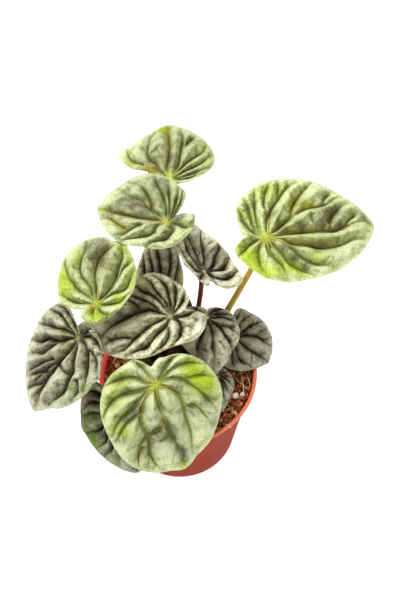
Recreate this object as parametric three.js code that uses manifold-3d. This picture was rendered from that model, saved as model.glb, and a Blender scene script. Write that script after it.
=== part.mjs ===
// A ripple-leaved peperomia in a plain nursery pot, in millimetres, +Z up.
// The origin is the centre of the pot's base, on the surface it stands on. The plant is seen from -Y.
import * as THREE from "three";
import { mergeVertices } from "three/addons/utils/BufferGeometryUtils.js";
import Module from "manifold-3d";

const wasm = await Module();
wasm.setup();

// ---------------------------------------------------------------- driving dimensions

const GAP = 0.3; // between pieces that touch

const POT = {
  height: 88,
  rimRadius: 52.5, // outside of the lip: a 10.5 cm pot
  baseRadius: 40,
  wall: 1,
  floor: 2,
  collarHeight: 13, // the wider band under the lip
  collarTaper: 1.7, // how much narrower the collar is at its foot
  collarStep: 1.4, // how far the collar's foot stands out from the wall
  lipHeight: 2.5,
  lipOverhang: 1.2,
  sides: 48,
};

const DRAIN = { count: 6, radius: 3.5, ring: 24 };

const SOIL = { level: 82.5, bump: 0.9, flatRadius: 14, sides: 36 };

const CROWN = { radius: 8.5, height: 12.5, sides: 24 };

const BLADE = { thickness: 1, funnel: 0.05, point: 1.5, notchWidth: 26, sides: 32 };

const STALK = { sides: 8, steps: 9, leave: 7, arrive: 8 };

// Perlite grains lying on the soil: place, radius, and how far they lie below the soil's wave, which
// the facets of the soil cut off.
const GRAINS = [
  { x: 37.8, y: -16.8, radius: 2.1, sink: 0.7 },
  { x: 42.4, y: -15.7, radius: 1.6, sink: 0.4 },
  { x: 24, y: -37, radius: 1.2, sink: 0 },
  { x: -41, y: 6, radius: 1.5, sink: 0 },
  { x: 14, y: 39, radius: 1.6, sink: 0.4 },
];

// The soil is kept clear for watering at x 36..43, y -9..3.

// Each leaf: `hub` is where the stalk meets the blade. `heading` is the compass angle of the tip seen
// from above (0 = +X, 90 = +Y), `pitch` lifts the tip and `roll` turns the blade about its midrib.
// `length` is hub to tip. `left` and `right` are margin radii at 30, 60, 90, 120 and 150 degrees from the
// tip. `notch` is the radius at the notch, which lies at `notchAt` degrees. `droop` lowers the tip,
// `camber` the sides, and `lobe` lifts the left back lobe. `bumps` are small bulges and dents of the
// margin: where they are, their width in degrees, and how far they stand out.
// `from` places the stalk's foot on the crown (azimuth, and angle up the dome); `via` pulls its middle.
const LEAVES = [
  {
    name: "front", hub: [-12, -30, 125], heading: -65, pitch: -45, roll: 1, length: 58,
    left: [51, 44, 34, 25, 18], right: [55, 43, 36, 30, 24], notch: 13, notchAt: 178,
    bumps: [[12, 6, -1], [-8, 6, -1]],
    droop: 7, camber: 6, stalk: 1.9, from: [262, 40], via: [-6, -8, 112],
  },
  {
    name: "right", hub: [55, 48, 170], heading: 9, pitch: 2, roll: 1, length: 67,
    left: [60, 57, 43, 28, 17], right: [53, 39, 32, 26, 23.5], notch: 13, notchAt: 176,
    bumps: [[20, 8, -1.2]],
    droop: 8, camber: 6, stalk: 2.2, from: [32, 15], via: [39.7, 47, 104],
  },
  {
    name: "upper", hub: [-6, 55, 176], heading: 166, pitch: 2, roll: -7, length: 43,
    left: [34.5, 23.5, 19, 18, 17], right: [42.3, 42.5, 30, 21.5, 18.3], notch: 7.5, notchAt: -128,
    droop: 5, camber: 4, lobe: 4, stalk: 1.8, from: [98, 35], via: [-3, 52, 118],
  },
  {
    name: "top", hub: [-5, 104, 163], heading: 92, pitch: 8, roll: -6, length: 41,
    left: [41, 33, 12, 11, 10], right: [38.7, 33.8, 20, 12, 8.5], notch: 5, notchAt: 165,
    bumps: [[50, 9, 11], [72, 7, -8.5], [19, 9, -2], [41, 6, 1.5]],
    droop: 3, camber: 3, stalk: 1.8, from: [84, 10], via: [0, 82, 96],
  },
  {
    name: "left_high", hub: [-48, 11, 152], heading: 63, pitch: 30, roll: -3, length: 40,
    left: [42, 40, 30, 23, 13], right: [31, 20, 14, 12, 12], notch: 8, notchAt: 133,
    bumps: [[10, 6, -1.5], [126, 6, 3.5]],
    droop: 3, camber: 3, stalk: 1.8, from: [160, 42], via: [-50, 46, 112],
  },
  {
    name: "left_low", hub: [-62, 3, 125], heading: -134, pitch: -38, roll: 15, length: 56,
    left: [44, 35, 28, 21.5, 15.5], right: [52, 48, 37, 24.5, 10], notch: 6.5, notchAt: -138,
    bumps: [[14, 8, -3], [78, 8, 3]],
    droop: 5, camber: 4, stalk: 1.8, from: [182, 20], via: [-40, 10, 122],
  },
  {
    name: "centre", hub: [-4, 10, 140], heading: -160, pitch: -12, roll: -22, length: 47,
    left: [33, 21, 19, 22, 23], right: [38, 34, 30, 22, 17], notch: 11, notchAt: 180,
    bumps: [[-17, 10, 8], [-140, 12, 1.5]],
    droop: 5, camber: 3, stalk: 1.9, from: [170, 70], via: [-5, 12, 112],
  },
  {
    name: "low_mid", hub: [19, 21, 121], heading: -81, pitch: -26, roll: -16, length: 35,
    left: [28, 25, 18, 11, 7], right: [27, 24, 21, 15, 8], notch: 4, notchAt: 180,
    droop: 3, camber: 3, stalk: 1.6, from: [42, 42], via: [13, 17, 104],
  },
  {
    name: "low_right", hub: [39, 16, 103], heading: -24, pitch: -33, roll: 10, length: 27,
    left: [28, 25, 21, 20, 12], right: [23, 21, 20, 16, 12], notch: 5, notchAt: 180,
    droop: 3, camber: 3, stalk: 1.6, from: [8, 20], via: [22, 6, 98],
  },
  {
    name: "back_right", hub: [17, 33, 155], heading: 110, pitch: 14, roll: 27, length: 36,
    left: [28, 20, 13, 10, 10], right: [26, 21, 20, 24, 17], notch: 5, notchAt: -172,
    droop: 3, camber: -3, stalk: 1.85, from: [72, 48], via: [21, 41, 113],
  },
  {
    name: "back_upright", hub: [-11, 35, 130], heading: 84, pitch: 68, roll: 8, length: 42,
    left: [26, 18, 15, 13, 11], right: [25, 17, 14, 12, 11], notch: 4, notchAt: 180,
    droop: 2, camber: 5, stalk: 1.6, from: [125, 25], via: [-14, 34, 104],
  },
  {
    name: "front_left", hub: [-35, -36, 98], heading: -73, pitch: -35, roll: 34, length: 38,
    left: [31, 28, 25, 22, 20], right: [36, 33, 32, 30, 26], notch: 8, notchAt: 180,
    bumps: [[-78, 8, 1.5]],
    droop: 4, camber: 4, stalk: 1.7, from: [225, 15], via: [-16, -20, 98],
  },
  {
    name: "low_front", hub: [26, -8.3, 94.5], heading: -83, pitch: -21, roll: -18, length: 21,
    left: [15, 13, 10, 8, 7], right: [15, 13, 12, 10, 8], notch: 3, notchAt: 180,
    droop: 2, camber: 2, stalk: 1.3, from: [330, 15], via: [17, -6, 89.5],
  },
  {
    name: "young", hub: [5, 28, 113], heading: 88, pitch: 62, roll: -10, length: 14,
    left: [9, 7, 6, 5, 4], right: [9, 6, 5, 5, 4], notch: 3, notchAt: 180,
    droop: 1, camber: 1, stalk: 1.1, from: [100, 60], via: [5, 20, 103],
  },
];

// ---------------------------------------------------------------- finishes

const finish = (color, roughness) => new THREE.MeshStandardMaterial({ color, roughness, metalness: 0 });

const FINISH = {
  pot: finish(0xb5573f, 0.45),
  soil: finish(0x5a2f1c, 0.95),
  crown: finish(0x6d5a3a, 0.7),
  lime: finish(0x9fb85a, 0.5),
  dark: finish(0x57594a, 0.45),
  greenStalk: finish(0xa8923a, 0.5),
  redStalk: finish(0x6e2f26, 0.5),
  perlite: finish(0xe8dccb, 0.9),
};

const LIME_LEAVES = ["front", "right", "upper", "top", "left_high"];
const RED_STALKS = ["back_right", "back_upright", "centre", "low_mid", "low_right", "young", "low_front"];

// ---------------------------------------------------------------- helpers

const rad = THREE.MathUtils.degToRad;
const plant = new THREE.Group();

function addPiece(name, geometry, material) {
  const mesh = new THREE.Mesh(geometry, material);
  mesh.name = name;
  plant.add(mesh);
  return mesh;
}

// LatheGeometry turns about Y, so a profile of (radius, height) is stood up to turn about Z.
function turned(points, sides) {
  const profile = points.map(([radius, height]) => new THREE.Vector2(radius, height));
  return new THREE.LatheGeometry(profile, sides).rotateX(Math.PI / 2);
}

function toSolid(geometry) {
  const plain = geometry.clone();
  plain.deleteAttribute("normal");
  plain.deleteAttribute("uv");
  const merged = mergeVertices(plain, 1e-3);
  return new wasm.Manifold(
    new wasm.Mesh({
      numProp: 3,
      vertProperties: merged.attributes.position.array,
      triVerts: new Uint32Array(merged.index.array),
    }),
  );
}

function toGeometry(solid) {
  const mesh = solid.getMesh();
  const geometry = new THREE.BufferGeometry();
  geometry.setAttribute("position", new THREE.BufferAttribute(mesh.vertProperties, 3));
  geometry.setIndex(new THREE.BufferAttribute(mesh.triVerts, 1));
  geometry.computeVertexNormals();
  return geometry;
}

// Moves every vertex of a geometry by a function that changes the vector it is given.
function reshape(geometry, change) {
  const position = geometry.attributes.position;
  const point = new THREE.Vector3();
  for (let i = 0; i < position.count; i++) {
    point.fromBufferAttribute(position, i);
    change(point);
    position.setXYZ(i, point.x, point.y, point.z);
  }
  geometry.computeVertexNormals();
  return geometry;
}

// ---------------------------------------------------------------- pot

const collarFoot = POT.height - POT.collarHeight;
const collarRadius = POT.rimRadius - POT.lipOverhang;
const collarFootRadius = collarRadius - POT.collarTaper;
const wallTopRadius = collarFootRadius - POT.collarStep;

// Inside radius of the pot at a height, below the collar and within it.
function insideRadius(z) {
  const slope = (wallTopRadius - POT.baseRadius) / collarFoot;
  if (z <= collarFoot) return POT.baseRadius + slope * z - POT.wall;
  const rise = (z - collarFoot) / POT.collarHeight;
  return collarFootRadius + POT.collarTaper * rise - POT.wall;
}

function makePot() {
  const lipFoot = POT.height - POT.lipHeight;
  const round = 1.5; // radius of the base's outer edge
  const shell = turned(
    [
      [0, 0],
      [POT.baseRadius - round, 0],
      [POT.baseRadius - round * 0.3, round * 0.3],
      [POT.baseRadius, round],
      [wallTopRadius, collarFoot - 1],
      [collarFootRadius - 0.4, collarFoot],
      [collarFootRadius, collarFoot + 1.2],
      [collarRadius, lipFoot],
      [POT.rimRadius - 0.5, lipFoot + 0.3],
      [POT.rimRadius, lipFoot + 0.9],
      [POT.rimRadius, POT.height - 0.6],
      [POT.rimRadius - 0.6, POT.height],
      [collarRadius - 0.2, POT.height],
      [collarRadius - POT.wall, POT.height - 0.8],
      [insideRadius(collarFoot + 1.5), collarFoot + 1.5],
      [wallTopRadius - POT.wall, collarFoot],
      [insideRadius(POT.floor + 1.5), POT.floor + 1.5],
      [insideRadius(POT.floor) - 1.5, POT.floor],
      [0, POT.floor],
    ],
    POT.sides,
  );
  let solid = toSolid(shell);
  for (let i = 0; i < DRAIN.count; i++) {
    const turn = rad((360 / DRAIN.count) * (i + 0.5));
    const hole = new THREE.CylinderGeometry(DRAIN.radius, DRAIN.radius, POT.floor * 3, 14);
    hole.rotateX(Math.PI / 2);
    hole.translate(DRAIN.ring * Math.cos(turn), DRAIN.ring * Math.sin(turn), POT.floor / 2);
    solid = solid.subtract(toSolid(hole));
  }
  addPiece("pot", toGeometry(solid), FINISH.pot);
}

// ---------------------------------------------------------------- soil, crown and perlite

// Height of the soil's surface: flat round the crown and at the wall, uneven between.
function soilHeight(x, y) {
  const radius = Math.hypot(x, y);
  const middle = THREE.MathUtils.smoothstep(radius, SOIL.flatRadius, SOIL.flatRadius + 8);
  const edge = 1 - THREE.MathUtils.smoothstep(radius, 42, 49);
  const wave = Math.sin(x * 0.31 + 1) * Math.cos(y * 0.27) + 0.5 * Math.sin(x * 0.13 - y * 0.52);
  return SOIL.level + SOIL.bump * wave * middle * edge;
}

function makeSoil() {
  const foot = POT.floor + GAP;
  const wallRadius = (z) => insideRadius(z) - GAP;
  const geometry = turned(
    [
      [0, foot],
      [wallRadius(foot) - 2, foot],
      [wallRadius(foot + 2), foot + 2],
      [wallRadius(collarFoot), collarFoot],
      [wallRadius(collarFoot + 2.2), collarFoot + 2.2],
      [wallRadius(SOIL.level), SOIL.level],
      [42, SOIL.level],
      [33, SOIL.level],
      [24, SOIL.level],
      [SOIL.flatRadius, SOIL.level],
      [0, SOIL.level],
    ],
    SOIL.sides,
  );
  reshape(geometry, (point) => {
    if (point.z > SOIL.level - 0.01) point.z = soilHeight(point.x, point.y);
  });
  addPiece("soil", geometry, FINISH.soil);
}

const crownFoot = SOIL.level + GAP;

function makeCrown() {
  const profile = [[0, crownFoot]];
  for (let i = 0; i <= 6; i++) {
    const up = rad(15 * i);
    profile.push([CROWN.radius * Math.cos(up), crownFoot + CROWN.height * Math.sin(up)]);
  }
  profile[profile.length - 1][0] = 0;
  addPiece("crown", turned(profile, CROWN.sides), FINISH.crown);
}

function makeGrains() {
  GRAINS.forEach(({ x, y, radius, sink }, i) => {
    const geometry = new THREE.IcosahedronGeometry(radius, 1);
    const mesh = addPiece(`perlite_${i + 1}`, geometry, FINISH.perlite);
    mesh.rotation.set(i * 1.1, i * 0.7, i * 0.4);
    mesh.position.set(x, y, soilHeight(x, y) + radius + GAP + 0.2 - sink);
  });
}

// ---------------------------------------------------------------- leaves

function bladeFrame(leaf) {
  const heading = rad(leaf.heading);
  const pitch = rad(leaf.pitch);
  const roll = rad(leaf.roll);
  const along = new THREE.Vector3(
    Math.cos(pitch) * Math.cos(heading),
    Math.cos(pitch) * Math.sin(heading),
    Math.sin(pitch),
  );
  const level = new THREE.Vector3(-Math.sin(heading), Math.cos(heading), 0);
  const upright = along.clone().cross(level);
  const across = level.multiplyScalar(Math.cos(roll)).addScaledVector(upright, Math.sin(roll));
  return { along, across, normal: along.clone().cross(across) };
}

// Smooth closed curve through equally spaced values, at `place` counted in values.
function ringValue(values, place) {
  const count = values.length;
  const first = Math.floor(place);
  const part = place - first;
  const [p0, p1, p2, p3] = [-1, 0, 1, 2].map((step) => values[(first + step + count) % count]);
  const bend = 2 * p0 - 5 * p1 + 4 * p2 - p3;
  return 0.5 * (2 * p1 + (p2 - p0) * part + bend * part ** 2 + (3 * p1 - p0 - 3 * p2 + p3) * part ** 3);
}

// Distance in degrees between two angles.
const apart = (one, other) => Math.abs(((((one - other + 180) % 360) + 360) % 360) - 180);

function marginRadius(leaf, angle) {
  const back = (leaf.left[4] + leaf.right[4]) / 2;
  const values = [leaf.length, ...leaf.left, back, ...[...leaf.right].reverse()];
  const full = ringValue(values, (((angle % 360) + 360) % 360) / 30);
  const open = THREE.MathUtils.smoothstep(apart(angle, leaf.notchAt), 0, BLADE.notchWidth);
  const tip = BLADE.point * Math.exp(-((apart(angle, 0) / 6) ** 2));
  let radius = leaf.notch + (full - leaf.notch) * open + tip;
  for (const [at, width, rise] of leaf.bumps ?? []) {
    radius += rise * Math.exp(-((apart(angle, at) / width) ** 2));
  }
  return radius;
}

// How far the blade stands off its flat plane at a place on it; zero at the hub.
function bladeHeight(leaf, x, y) {
  const side = y / ((leaf.left[2] + leaf.right[2]) / 2);
  const ahead = Math.max(x, 0) / leaf.length;
  const behind = Math.max(-x, 0) / leaf.length;
  const funnel = BLADE.funnel * leaf.length;
  const dip = funnel * (1 - Math.exp(-(x * x + y * y) / (0.16 * leaf.length) ** 2));
  const lobe = 2 * (leaf.lobe ?? 0) * behind * Math.max(side, 0);
  return dip + lobe - leaf.droop * ahead ** 2 - leaf.camber * side ** 2;
}

function makeBlade(leaf) {
  const { along, across, normal } = bladeFrame(leaf);
  const half = BLADE.thickness / 2;
  const disc = new THREE.LatheGeometry(
    [
      [0, -half],
      [0.25, -half],
      [0.62, -half],
      [1, -half * 0.5],
      [1, half * 0.5],
      [0.62, half],
      [0.25, half],
      [0, half],
    ].map(([radius, height]) => new THREE.Vector2(radius, height)),
    BLADE.sides,
  );
  const hub = new THREE.Vector3(...leaf.hub);
  reshape(disc, (point) => {
    const reach = Math.hypot(point.x, point.z);
    const angle = Math.atan2(point.x, point.z);
    const radius = reach * marginRadius(leaf, THREE.MathUtils.radToDeg(angle));
    const x = radius * Math.cos(angle);
    const y = radius * Math.sin(angle);
    const z = bladeHeight(leaf, x, y) + point.y;
    point.copy(hub).addScaledVector(along, x).addScaledVector(across, y).addScaledVector(normal, z);
  });
  const material = LIME_LEAVES.includes(leaf.name) ? FINISH.lime : FINISH.dark;
  addPiece(`leaf_${leaf.name}`, disc, material);
}

// A Bezier curve with five control points: it leaves the crown square and meets the blade square.
class StalkCurve extends THREE.Curve {
  constructor(controls) {
    super();
    this.controls = controls;
  }

  getPoint(t, target = new THREE.Vector3()) {
    const weights = [1, 4, 6, 4, 1].map((share, i) => share * t ** i * (1 - t) ** (4 - i));
    target.set(0, 0, 0);
    this.controls.forEach((control, i) => target.addScaledVector(control, weights[i]));
    return target;
  }
}

function stalkCurve(leaf) {
  const [azimuth, climb] = leaf.from.map(rad);
  const outward = new THREE.Vector3(Math.cos(azimuth), Math.sin(azimuth), 0);
  const foot = outward.clone().multiplyScalar(CROWN.radius * Math.cos(climb));
  foot.z = crownFoot + CROWN.height * Math.sin(climb);
  const leaving = outward.multiplyScalar(Math.cos(climb) * CROWN.height);
  leaving.z = Math.sin(climb) * CROWN.radius;
  leaving.normalize();
  const { normal } = bladeFrame(leaf);
  const start = foot.addScaledVector(leaving, GAP);
  const end = new THREE.Vector3(...leaf.hub).addScaledVector(normal, -BLADE.thickness / 2 - GAP);
  return new StalkCurve([
    start,
    start.clone().addScaledVector(leaving, STALK.leave),
    new THREE.Vector3(...leaf.via),
    end.clone().addScaledVector(normal, -STALK.arrive),
    end,
  ]);
}

function makeStalk(leaf) {
  const section = new THREE.Shape().absarc(0, 0, leaf.stalk, 0, Math.PI * 2);
  const geometry = new THREE.ExtrudeGeometry(section, {
    extrudePath: stalkCurve(leaf),
    steps: STALK.steps,
    curveSegments: STALK.sides / 2,
    bevelEnabled: false,
  });
  const material = RED_STALKS.includes(leaf.name) ? FINISH.redStalk : FINISH.greenStalk;
  addPiece(`stalk_${leaf.name}`, geometry, material);
}

// ---------------------------------------------------------------- assembly

makePot();
makeSoil();
makeCrown();
makeGrains();
LEAVES.forEach(makeBlade);
LEAVES.forEach(makeStalk);

export default plant;
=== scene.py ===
"""A potted peperomia with quilted leaves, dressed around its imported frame."""

import math
import random

import bmesh
import bpy
import numpy as np
from mathutils import Matrix, Vector, noise


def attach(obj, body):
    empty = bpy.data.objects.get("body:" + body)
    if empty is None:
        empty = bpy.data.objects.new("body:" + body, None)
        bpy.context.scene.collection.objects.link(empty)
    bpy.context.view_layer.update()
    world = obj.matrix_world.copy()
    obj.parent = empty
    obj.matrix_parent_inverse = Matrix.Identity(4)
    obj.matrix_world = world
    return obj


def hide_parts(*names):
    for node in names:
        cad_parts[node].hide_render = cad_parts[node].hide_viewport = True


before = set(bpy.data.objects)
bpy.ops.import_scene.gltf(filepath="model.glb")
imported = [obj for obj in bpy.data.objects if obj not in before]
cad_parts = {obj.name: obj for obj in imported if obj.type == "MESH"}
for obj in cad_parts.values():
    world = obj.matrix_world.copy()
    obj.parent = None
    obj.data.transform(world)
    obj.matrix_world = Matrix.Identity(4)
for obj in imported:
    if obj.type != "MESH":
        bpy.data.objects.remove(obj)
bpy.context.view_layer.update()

MM = 0.001  # the tables below are in millimetres, and the scene is in metres

# ---------------------------------------------------------------- camera

CAMERA_PLACE = (0.0149, -0.268504, 0.581637)
CAMERA_TURN = (math.radians(33.3), 0.0, 0.0)
CAMERA_LENS = 50.5


def place_camera():
    lens = bpy.data.cameras.new("camera")
    lens.lens = CAMERA_LENS
    lens.sensor_width = 36
    lens.clip_start = 0.01
    camera = bpy.data.objects.new("camera", lens)
    camera.location = CAMERA_PLACE
    camera.rotation_euler = CAMERA_TURN
    bpy.context.scene.collection.objects.link(camera)
    bpy.context.scene.camera = camera


place_camera()

# ---------------------------------------------------------------- finishes


class Tone:
    """A value in a finish: sums on it add their Math nodes."""

    def __init__(self, finish, socket):
        self.finish = finish
        self.socket = socket

    def sum(self, operation, *terms):
        sockets = dict(enumerate(terms))
        return self.finish.node("ShaderNodeMath", {"operation": operation}, sockets)

    def __add__(self, other):
        return self.sum("ADD", self, other)

    def __sub__(self, other):
        return self.sum("SUBTRACT", self, other)

    def __rsub__(self, other):
        return self.sum("SUBTRACT", other, self)

    def __mul__(self, other):
        return self.sum("MULTIPLY", self, other)

    __radd__ = __add__
    __rmul__ = __mul__

    def clamp(self):
        return self.finish.node("ShaderNodeClamp", {}, {0: self})

    def spread(self):
        """A noise, whose values crowd about a half, opened out to the whole of 0 to 1."""
        return self.band(0.3, 0.7)

    def band(self, low, high, start=0.0, end=1.0):
        """Rises smoothly from start to end while the value goes from low to high."""
        return self.finish.node(
            "ShaderNodeMapRange",
            {"interpolation_type": "SMOOTHSTEP"},
            {0: self, 1: low, 2: high, 3: start, 4: end},
        )


class Finish:
    """A surface finish and the nodes that paint it."""

    def __init__(self, name, **constants):
        self.material = bpy.data.materials.new(name)
        self.material.use_nodes = True
        self.tree = self.material.node_tree
        self.tree.nodes.clear()
        self.end = self.tree.nodes.new("ShaderNodeOutputMaterial")
        self.shader = self.tree.nodes.new("ShaderNodeBsdfPrincipled")
        self.tree.links.new(self.shader.outputs[0], self.end.inputs["Surface"])
        for socket, value in constants.items():
            self.shader.inputs[socket.replace("_", " ")].default_value = value
        self.place = self.node("ShaderNodeTexCoord", {}, {}, "Object")

    def node(self, kind, settings=None, sockets=None, out=0):
        """Adds a node: its settings first, then its sockets' values or links."""
        made = self.tree.nodes.new(kind)
        for key, value in (settings or {}).items():
            if key == "stops":
                self.set_stops(made.color_ramp, value)
            else:
                setattr(made, key, value)
        for key, value in (sockets or {}).items():
            self.feed(made.inputs[key], value)
        return Tone(self, made.outputs[out])

    @staticmethod
    def set_stops(ramp, stops):
        while len(ramp.elements) < len(stops):
            ramp.elements.new(0.5)
        for element, (position, colour) in zip(ramp.elements, stops):
            element.position = position
            element.color = (*colour, 1.0)

    def feed(self, socket, value):
        if isinstance(value, Tone):
            self.tree.links.new(value.socket, socket)
        elif isinstance(value, tuple) and socket.type == "RGBA":
            socket.default_value = (*value, 1.0)
        else:
            socket.default_value = value

    def paint(self, **channels):
        for socket, value in channels.items():
            self.feed(self.shader.inputs[socket.replace("_", " ")], value)

    def mark(self, name):
        """A value that the piece's own mesh carries at each point."""
        return self.node("ShaderNodeAttribute", {"attribute_name": name}, {}, "Fac")

    def mix(self, share, first, second, blend="MIX"):
        return self.node(
            "ShaderNodeMix",
            {"data_type": "RGBA", "blend_type": blend, "clamp_factor": True},
            {0: share, 6: first, 7: second},
            2,
        )

    def ramp(self, value, stops):
        return self.node("ShaderNodeValToRGB", {"stops": stops}, {0: value})

    def dimmed(self, colour, value):
        """The colour made brighter or darker by the value."""
        grey = self.node("ShaderNodeCombineColor", {}, {0: value, 1: value, 2: value})
        return self.mix(1.0, colour, grey, "MULTIPLY")

    def stretched(self, *scale):
        """The place in the piece, squeezed or stretched along its axes."""
        return self.node("ShaderNodeMapping", {}, {"Vector": self.place, "Scale": scale})

    def clouds(self, scale, detail=2.0, roughness=0.5, place=None, warp=0.0):
        return self.node(
            "ShaderNodeTexNoise",
            {},
            {
                "Vector": place or self.place,
                "Scale": scale,
                "Detail": detail,
                "Roughness": roughness,
                "Distortion": warp,
            },
        )

    def cells(self, scale, feature="F1", place=None):
        return self.node(
            "ShaderNodeTexVoronoi",
            {"feature": feature},
            {"Vector": place or self.place, "Scale": scale},
        )

    def relief(self, height, strength, distance=0.001):
        """A bump that follows the height, which is in units of the distance."""
        bump = self.node(
            "ShaderNodeBump",
            {},
            {"Strength": strength, "Distance": distance, "Height": height},
        )
        self.paint(Normal=bump)


def tint(red, green, blue):
    """A colour in display values from 0 to 255, as the linear values nodes use."""

    def linear(value):
        value /= 255
        return value / 12.92 if value <= 0.04045 else ((value + 0.055) / 1.055) ** 2.4

    return (linear(red), linear(green), linear(blue))


def leaf_finish(name, stops, valley, rim, lime, ochre, dusk, hub, painted_shade, sway, pepper):
    """The upper side of a leaf, from its marks: crests, creases, rim, patches, and painted light
    and shade.
    """
    f = Finish(name, Specular_IOR_Level=0.25)
    swell = f.mark("swell")
    groove = f.mark("groove")
    # Painted light and shade: a mark that is high where a pillow's side faces the light's way and
    # low where it faces away.
    sunny = f.mark("sunny") - 0.5
    ray = f.node("ShaderNodeAttribute", {"attribute_name": "ray"}, {}, "Vector")
    streak = f.clouds(620, 2, 0.6, place=ray).spread()
    mottle = f.clouds(260, 2, 0.6).spread()
    blotch = f.clouds(95, 1, 0.5).spread()
    crinkle = f.clouds(520, 3, 0.65).spread()
    fleck = f.clouds(1250, 1, 0.6).spread()
    level = swell + (mottle - 0.5) * 0.14 + (blotch - 0.5) * 0.18 + (streak - 0.5) * 0.16
    level = level + (crinkle - 0.5) * 0.18 + sunny * sway
    # From creases to crests: partly the leaf's own colour, silvery pillows and darker tissue by
    # the veins, partly painted shade in the valleys; the painted light on the pillows' sides
    # shifts it too.
    colour = f.ramp(level.clamp(), stops)
    # Painted shade: the sides that face away from the light are mixed towards a darker, duller
    # colour.
    colour = f.mix((sunny * -2.0 * sway).clamp(), colour, painted_shade)
    lit = (f.mark("lime") * (0.3 + mottle * 0.45 + level * 0.6)).clamp()
    colour = f.mix(lit, colour, lime)
    warm = (f.mark("ochre") * (0.5 + mottle * 0.6)).clamp()
    colour = f.mix(warm, colour, ochre)
    # Painted shade: the dusk patches darken the blade, broken up into flecks.
    dim = (f.mark("dusk") * (crinkle * 1.2 + fleck * 1.4 - 0.2)).clamp()
    colour = f.mix(dim, colour, f.mix(1.0, colour, dusk, "MULTIPLY"))
    colour = f.mix(f.mark("edge") * 0.45, colour, rim)
    # The creases darken: partly the leaf's own darker line along the veins, partly painted shade,
    # deeper where the surface tilts away from the light's way.
    colour = f.mix((groove * (0.6 + mottle * 0.3 - sunny * 1.1)).clamp(), colour, valley)
    colour = f.mix(f.mark("hub"), colour, hub)
    shade = f.mark("tone") + (crinkle - 0.5) * pepper * 0.5 + (fleck - 0.5) * pepper * 1.5
    colour = f.dimmed(colour, shade)
    f.paint(Base_Color=colour, Roughness=0.52 - swell * 0.1 + (fleck - 0.5) * 0.12)
    f.relief(crinkle * 0.6 + fleck * 0.4, 0.5, 0.0005)
    return f.material


def vein_finish(name, hub, middle, margin):
    """A vein, bright at the hub and fading into the blade at the margin."""
    f = Finish(name, Specular_IOR_Level=0.3)
    grain = f.clouds(1100, 2, 0.6).spread()
    along = f.mark("along") + (grain - 0.5) * 0.12
    colour = f.ramp(along, [(0.08, hub), (0.4, middle), (0.85, margin)])
    colour = f.dimmed(colour, 0.85 + grain * 0.3)
    f.paint(Base_Color=colour, Roughness=0.5 + (grain - 0.5) * 0.2)
    return f.material


def under_finish(name, blade, vein):
    """The underside of a leaf: paler and duller, with its veins standing out."""
    f = Finish(name, Specular_IOR_Level=0.4)
    mottle = f.clouds(220, 3, 0.6)
    grain = f.clouds(1800, 2, 0.7)
    colour = f.mix((mottle - 0.35).clamp(), blade, f.mix(0.5, blade, vein))
    colour = f.mix((f.mark("groove") * 0.7).clamp(), colour, vein)
    colour = f.mix(f.mark("hub"), colour, vein)
    colour = f.dimmed(colour, 0.9 + grain * 0.2)
    f.paint(Base_Color=colour, Roughness=0.55 + (grain - 0.5) * 0.2)
    f.relief(grain, 0.25, 0.0004)
    return f.material


def stalk_finish(name, low, high, flush):
    """A fleshy stalk that changes colour from its foot to its leaf."""
    f = Finish(name, Specular_IOR_Level=0.25)
    along = f.mark("along")
    lines = f.clouds(900, 3, 0.6, place=f.stretched(1, 1, 0.12))
    mottle = f.clouds(180, 2, 0.6)
    colour = f.mix(along.band(0.1, 0.9), low, high)
    colour = f.mix((mottle - 0.35).clamp() * 1.2, colour, flush)
    # Painted shade: the stalk darkens almost to black towards its foot, under the leaves.
    colour = f.mix(along.band(0.16, 0.44, 0.9, 0.0), colour, tint(34, 22, 16))
    colour = f.dimmed(colour, 0.82 + lines * 0.36)
    f.paint(Base_Color=colour, Roughness=0.38 + (lines - 0.5) * 0.2)
    f.relief(lines, 0.3, 0.0003)
    return f.material


def soil_finish():
    """Coarse coir and bark compost, from dark gaps to golden fibres."""
    f = Finish("soil_coir_compost", Specular_IOR_Level=0.25)
    lump = f.mark("lump")
    crumb = f.clouds(1100, 3, 0.7).spread()
    strands = f.clouds(420, 3, 0.65, warp=1.5).spread()
    level = lump * 0.85 + (strands - 0.5) * 0.35 + (crumb - 0.5) * 0.25 + 0.08
    dry = f.ramp(
        level.clamp(),
        [
            (0.0, tint(48, 22, 12)), (0.25, tint(142, 76, 46)), (0.5, tint(210, 122, 78)),
            (0.78, tint(246, 184, 116)), (1.0, tint(255, 230, 164)),
        ],
    )
    # Painted shade: near the crown, under the leaves, the soil's colour is darkened.
    damp = f.mix(1.0, dry, tint(70, 58, 52), "MULTIPLY")
    colour = f.mix(f.mark("damp"), dry, damp)
    f.paint(Base_Color=colour, Roughness=0.9)
    f.relief(crumb * 0.6 + strands * 0.4, 0.8, 0.0006)
    return f.material


def perlite_finish():
    """White expanded grains with fine pores and a little soil dust."""
    f = Finish("perlite_grain", Specular_IOR_Level=0.3)
    pore = f.cells(1500)
    dust = f.clouds(500, 3, 0.6)
    colour = f.mix((dust - 0.46).clamp() * 1.6, tint(255, 246, 228), tint(226, 190, 148))
    colour = f.mix(pore.band(0.0, 0.3, 0.4, 0.0), colour, tint(196, 164, 128))
    f.paint(Base_Color=colour, Roughness=0.85)
    f.relief(pore, 0.6, 0.0004)
    return f.material


def crown_finish():
    """The short woody crown that every stalk grows from."""
    f = Finish("crown_woody", Specular_IOR_Level=0.35)
    bark = f.clouds(420, 4, 0.65, place=f.stretched(0.5, 0.5, 2.2))
    colour = f.ramp(
        bark, [(0.25, tint(38, 22, 16)), (0.5, tint(74, 44, 32)), (0.75, tint(72, 70, 36))]
    )
    f.paint(Base_Color=colour, Roughness=0.7 - bark * 0.2)
    f.relief(bark, 0.6, 0.0006)
    return f.material


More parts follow.
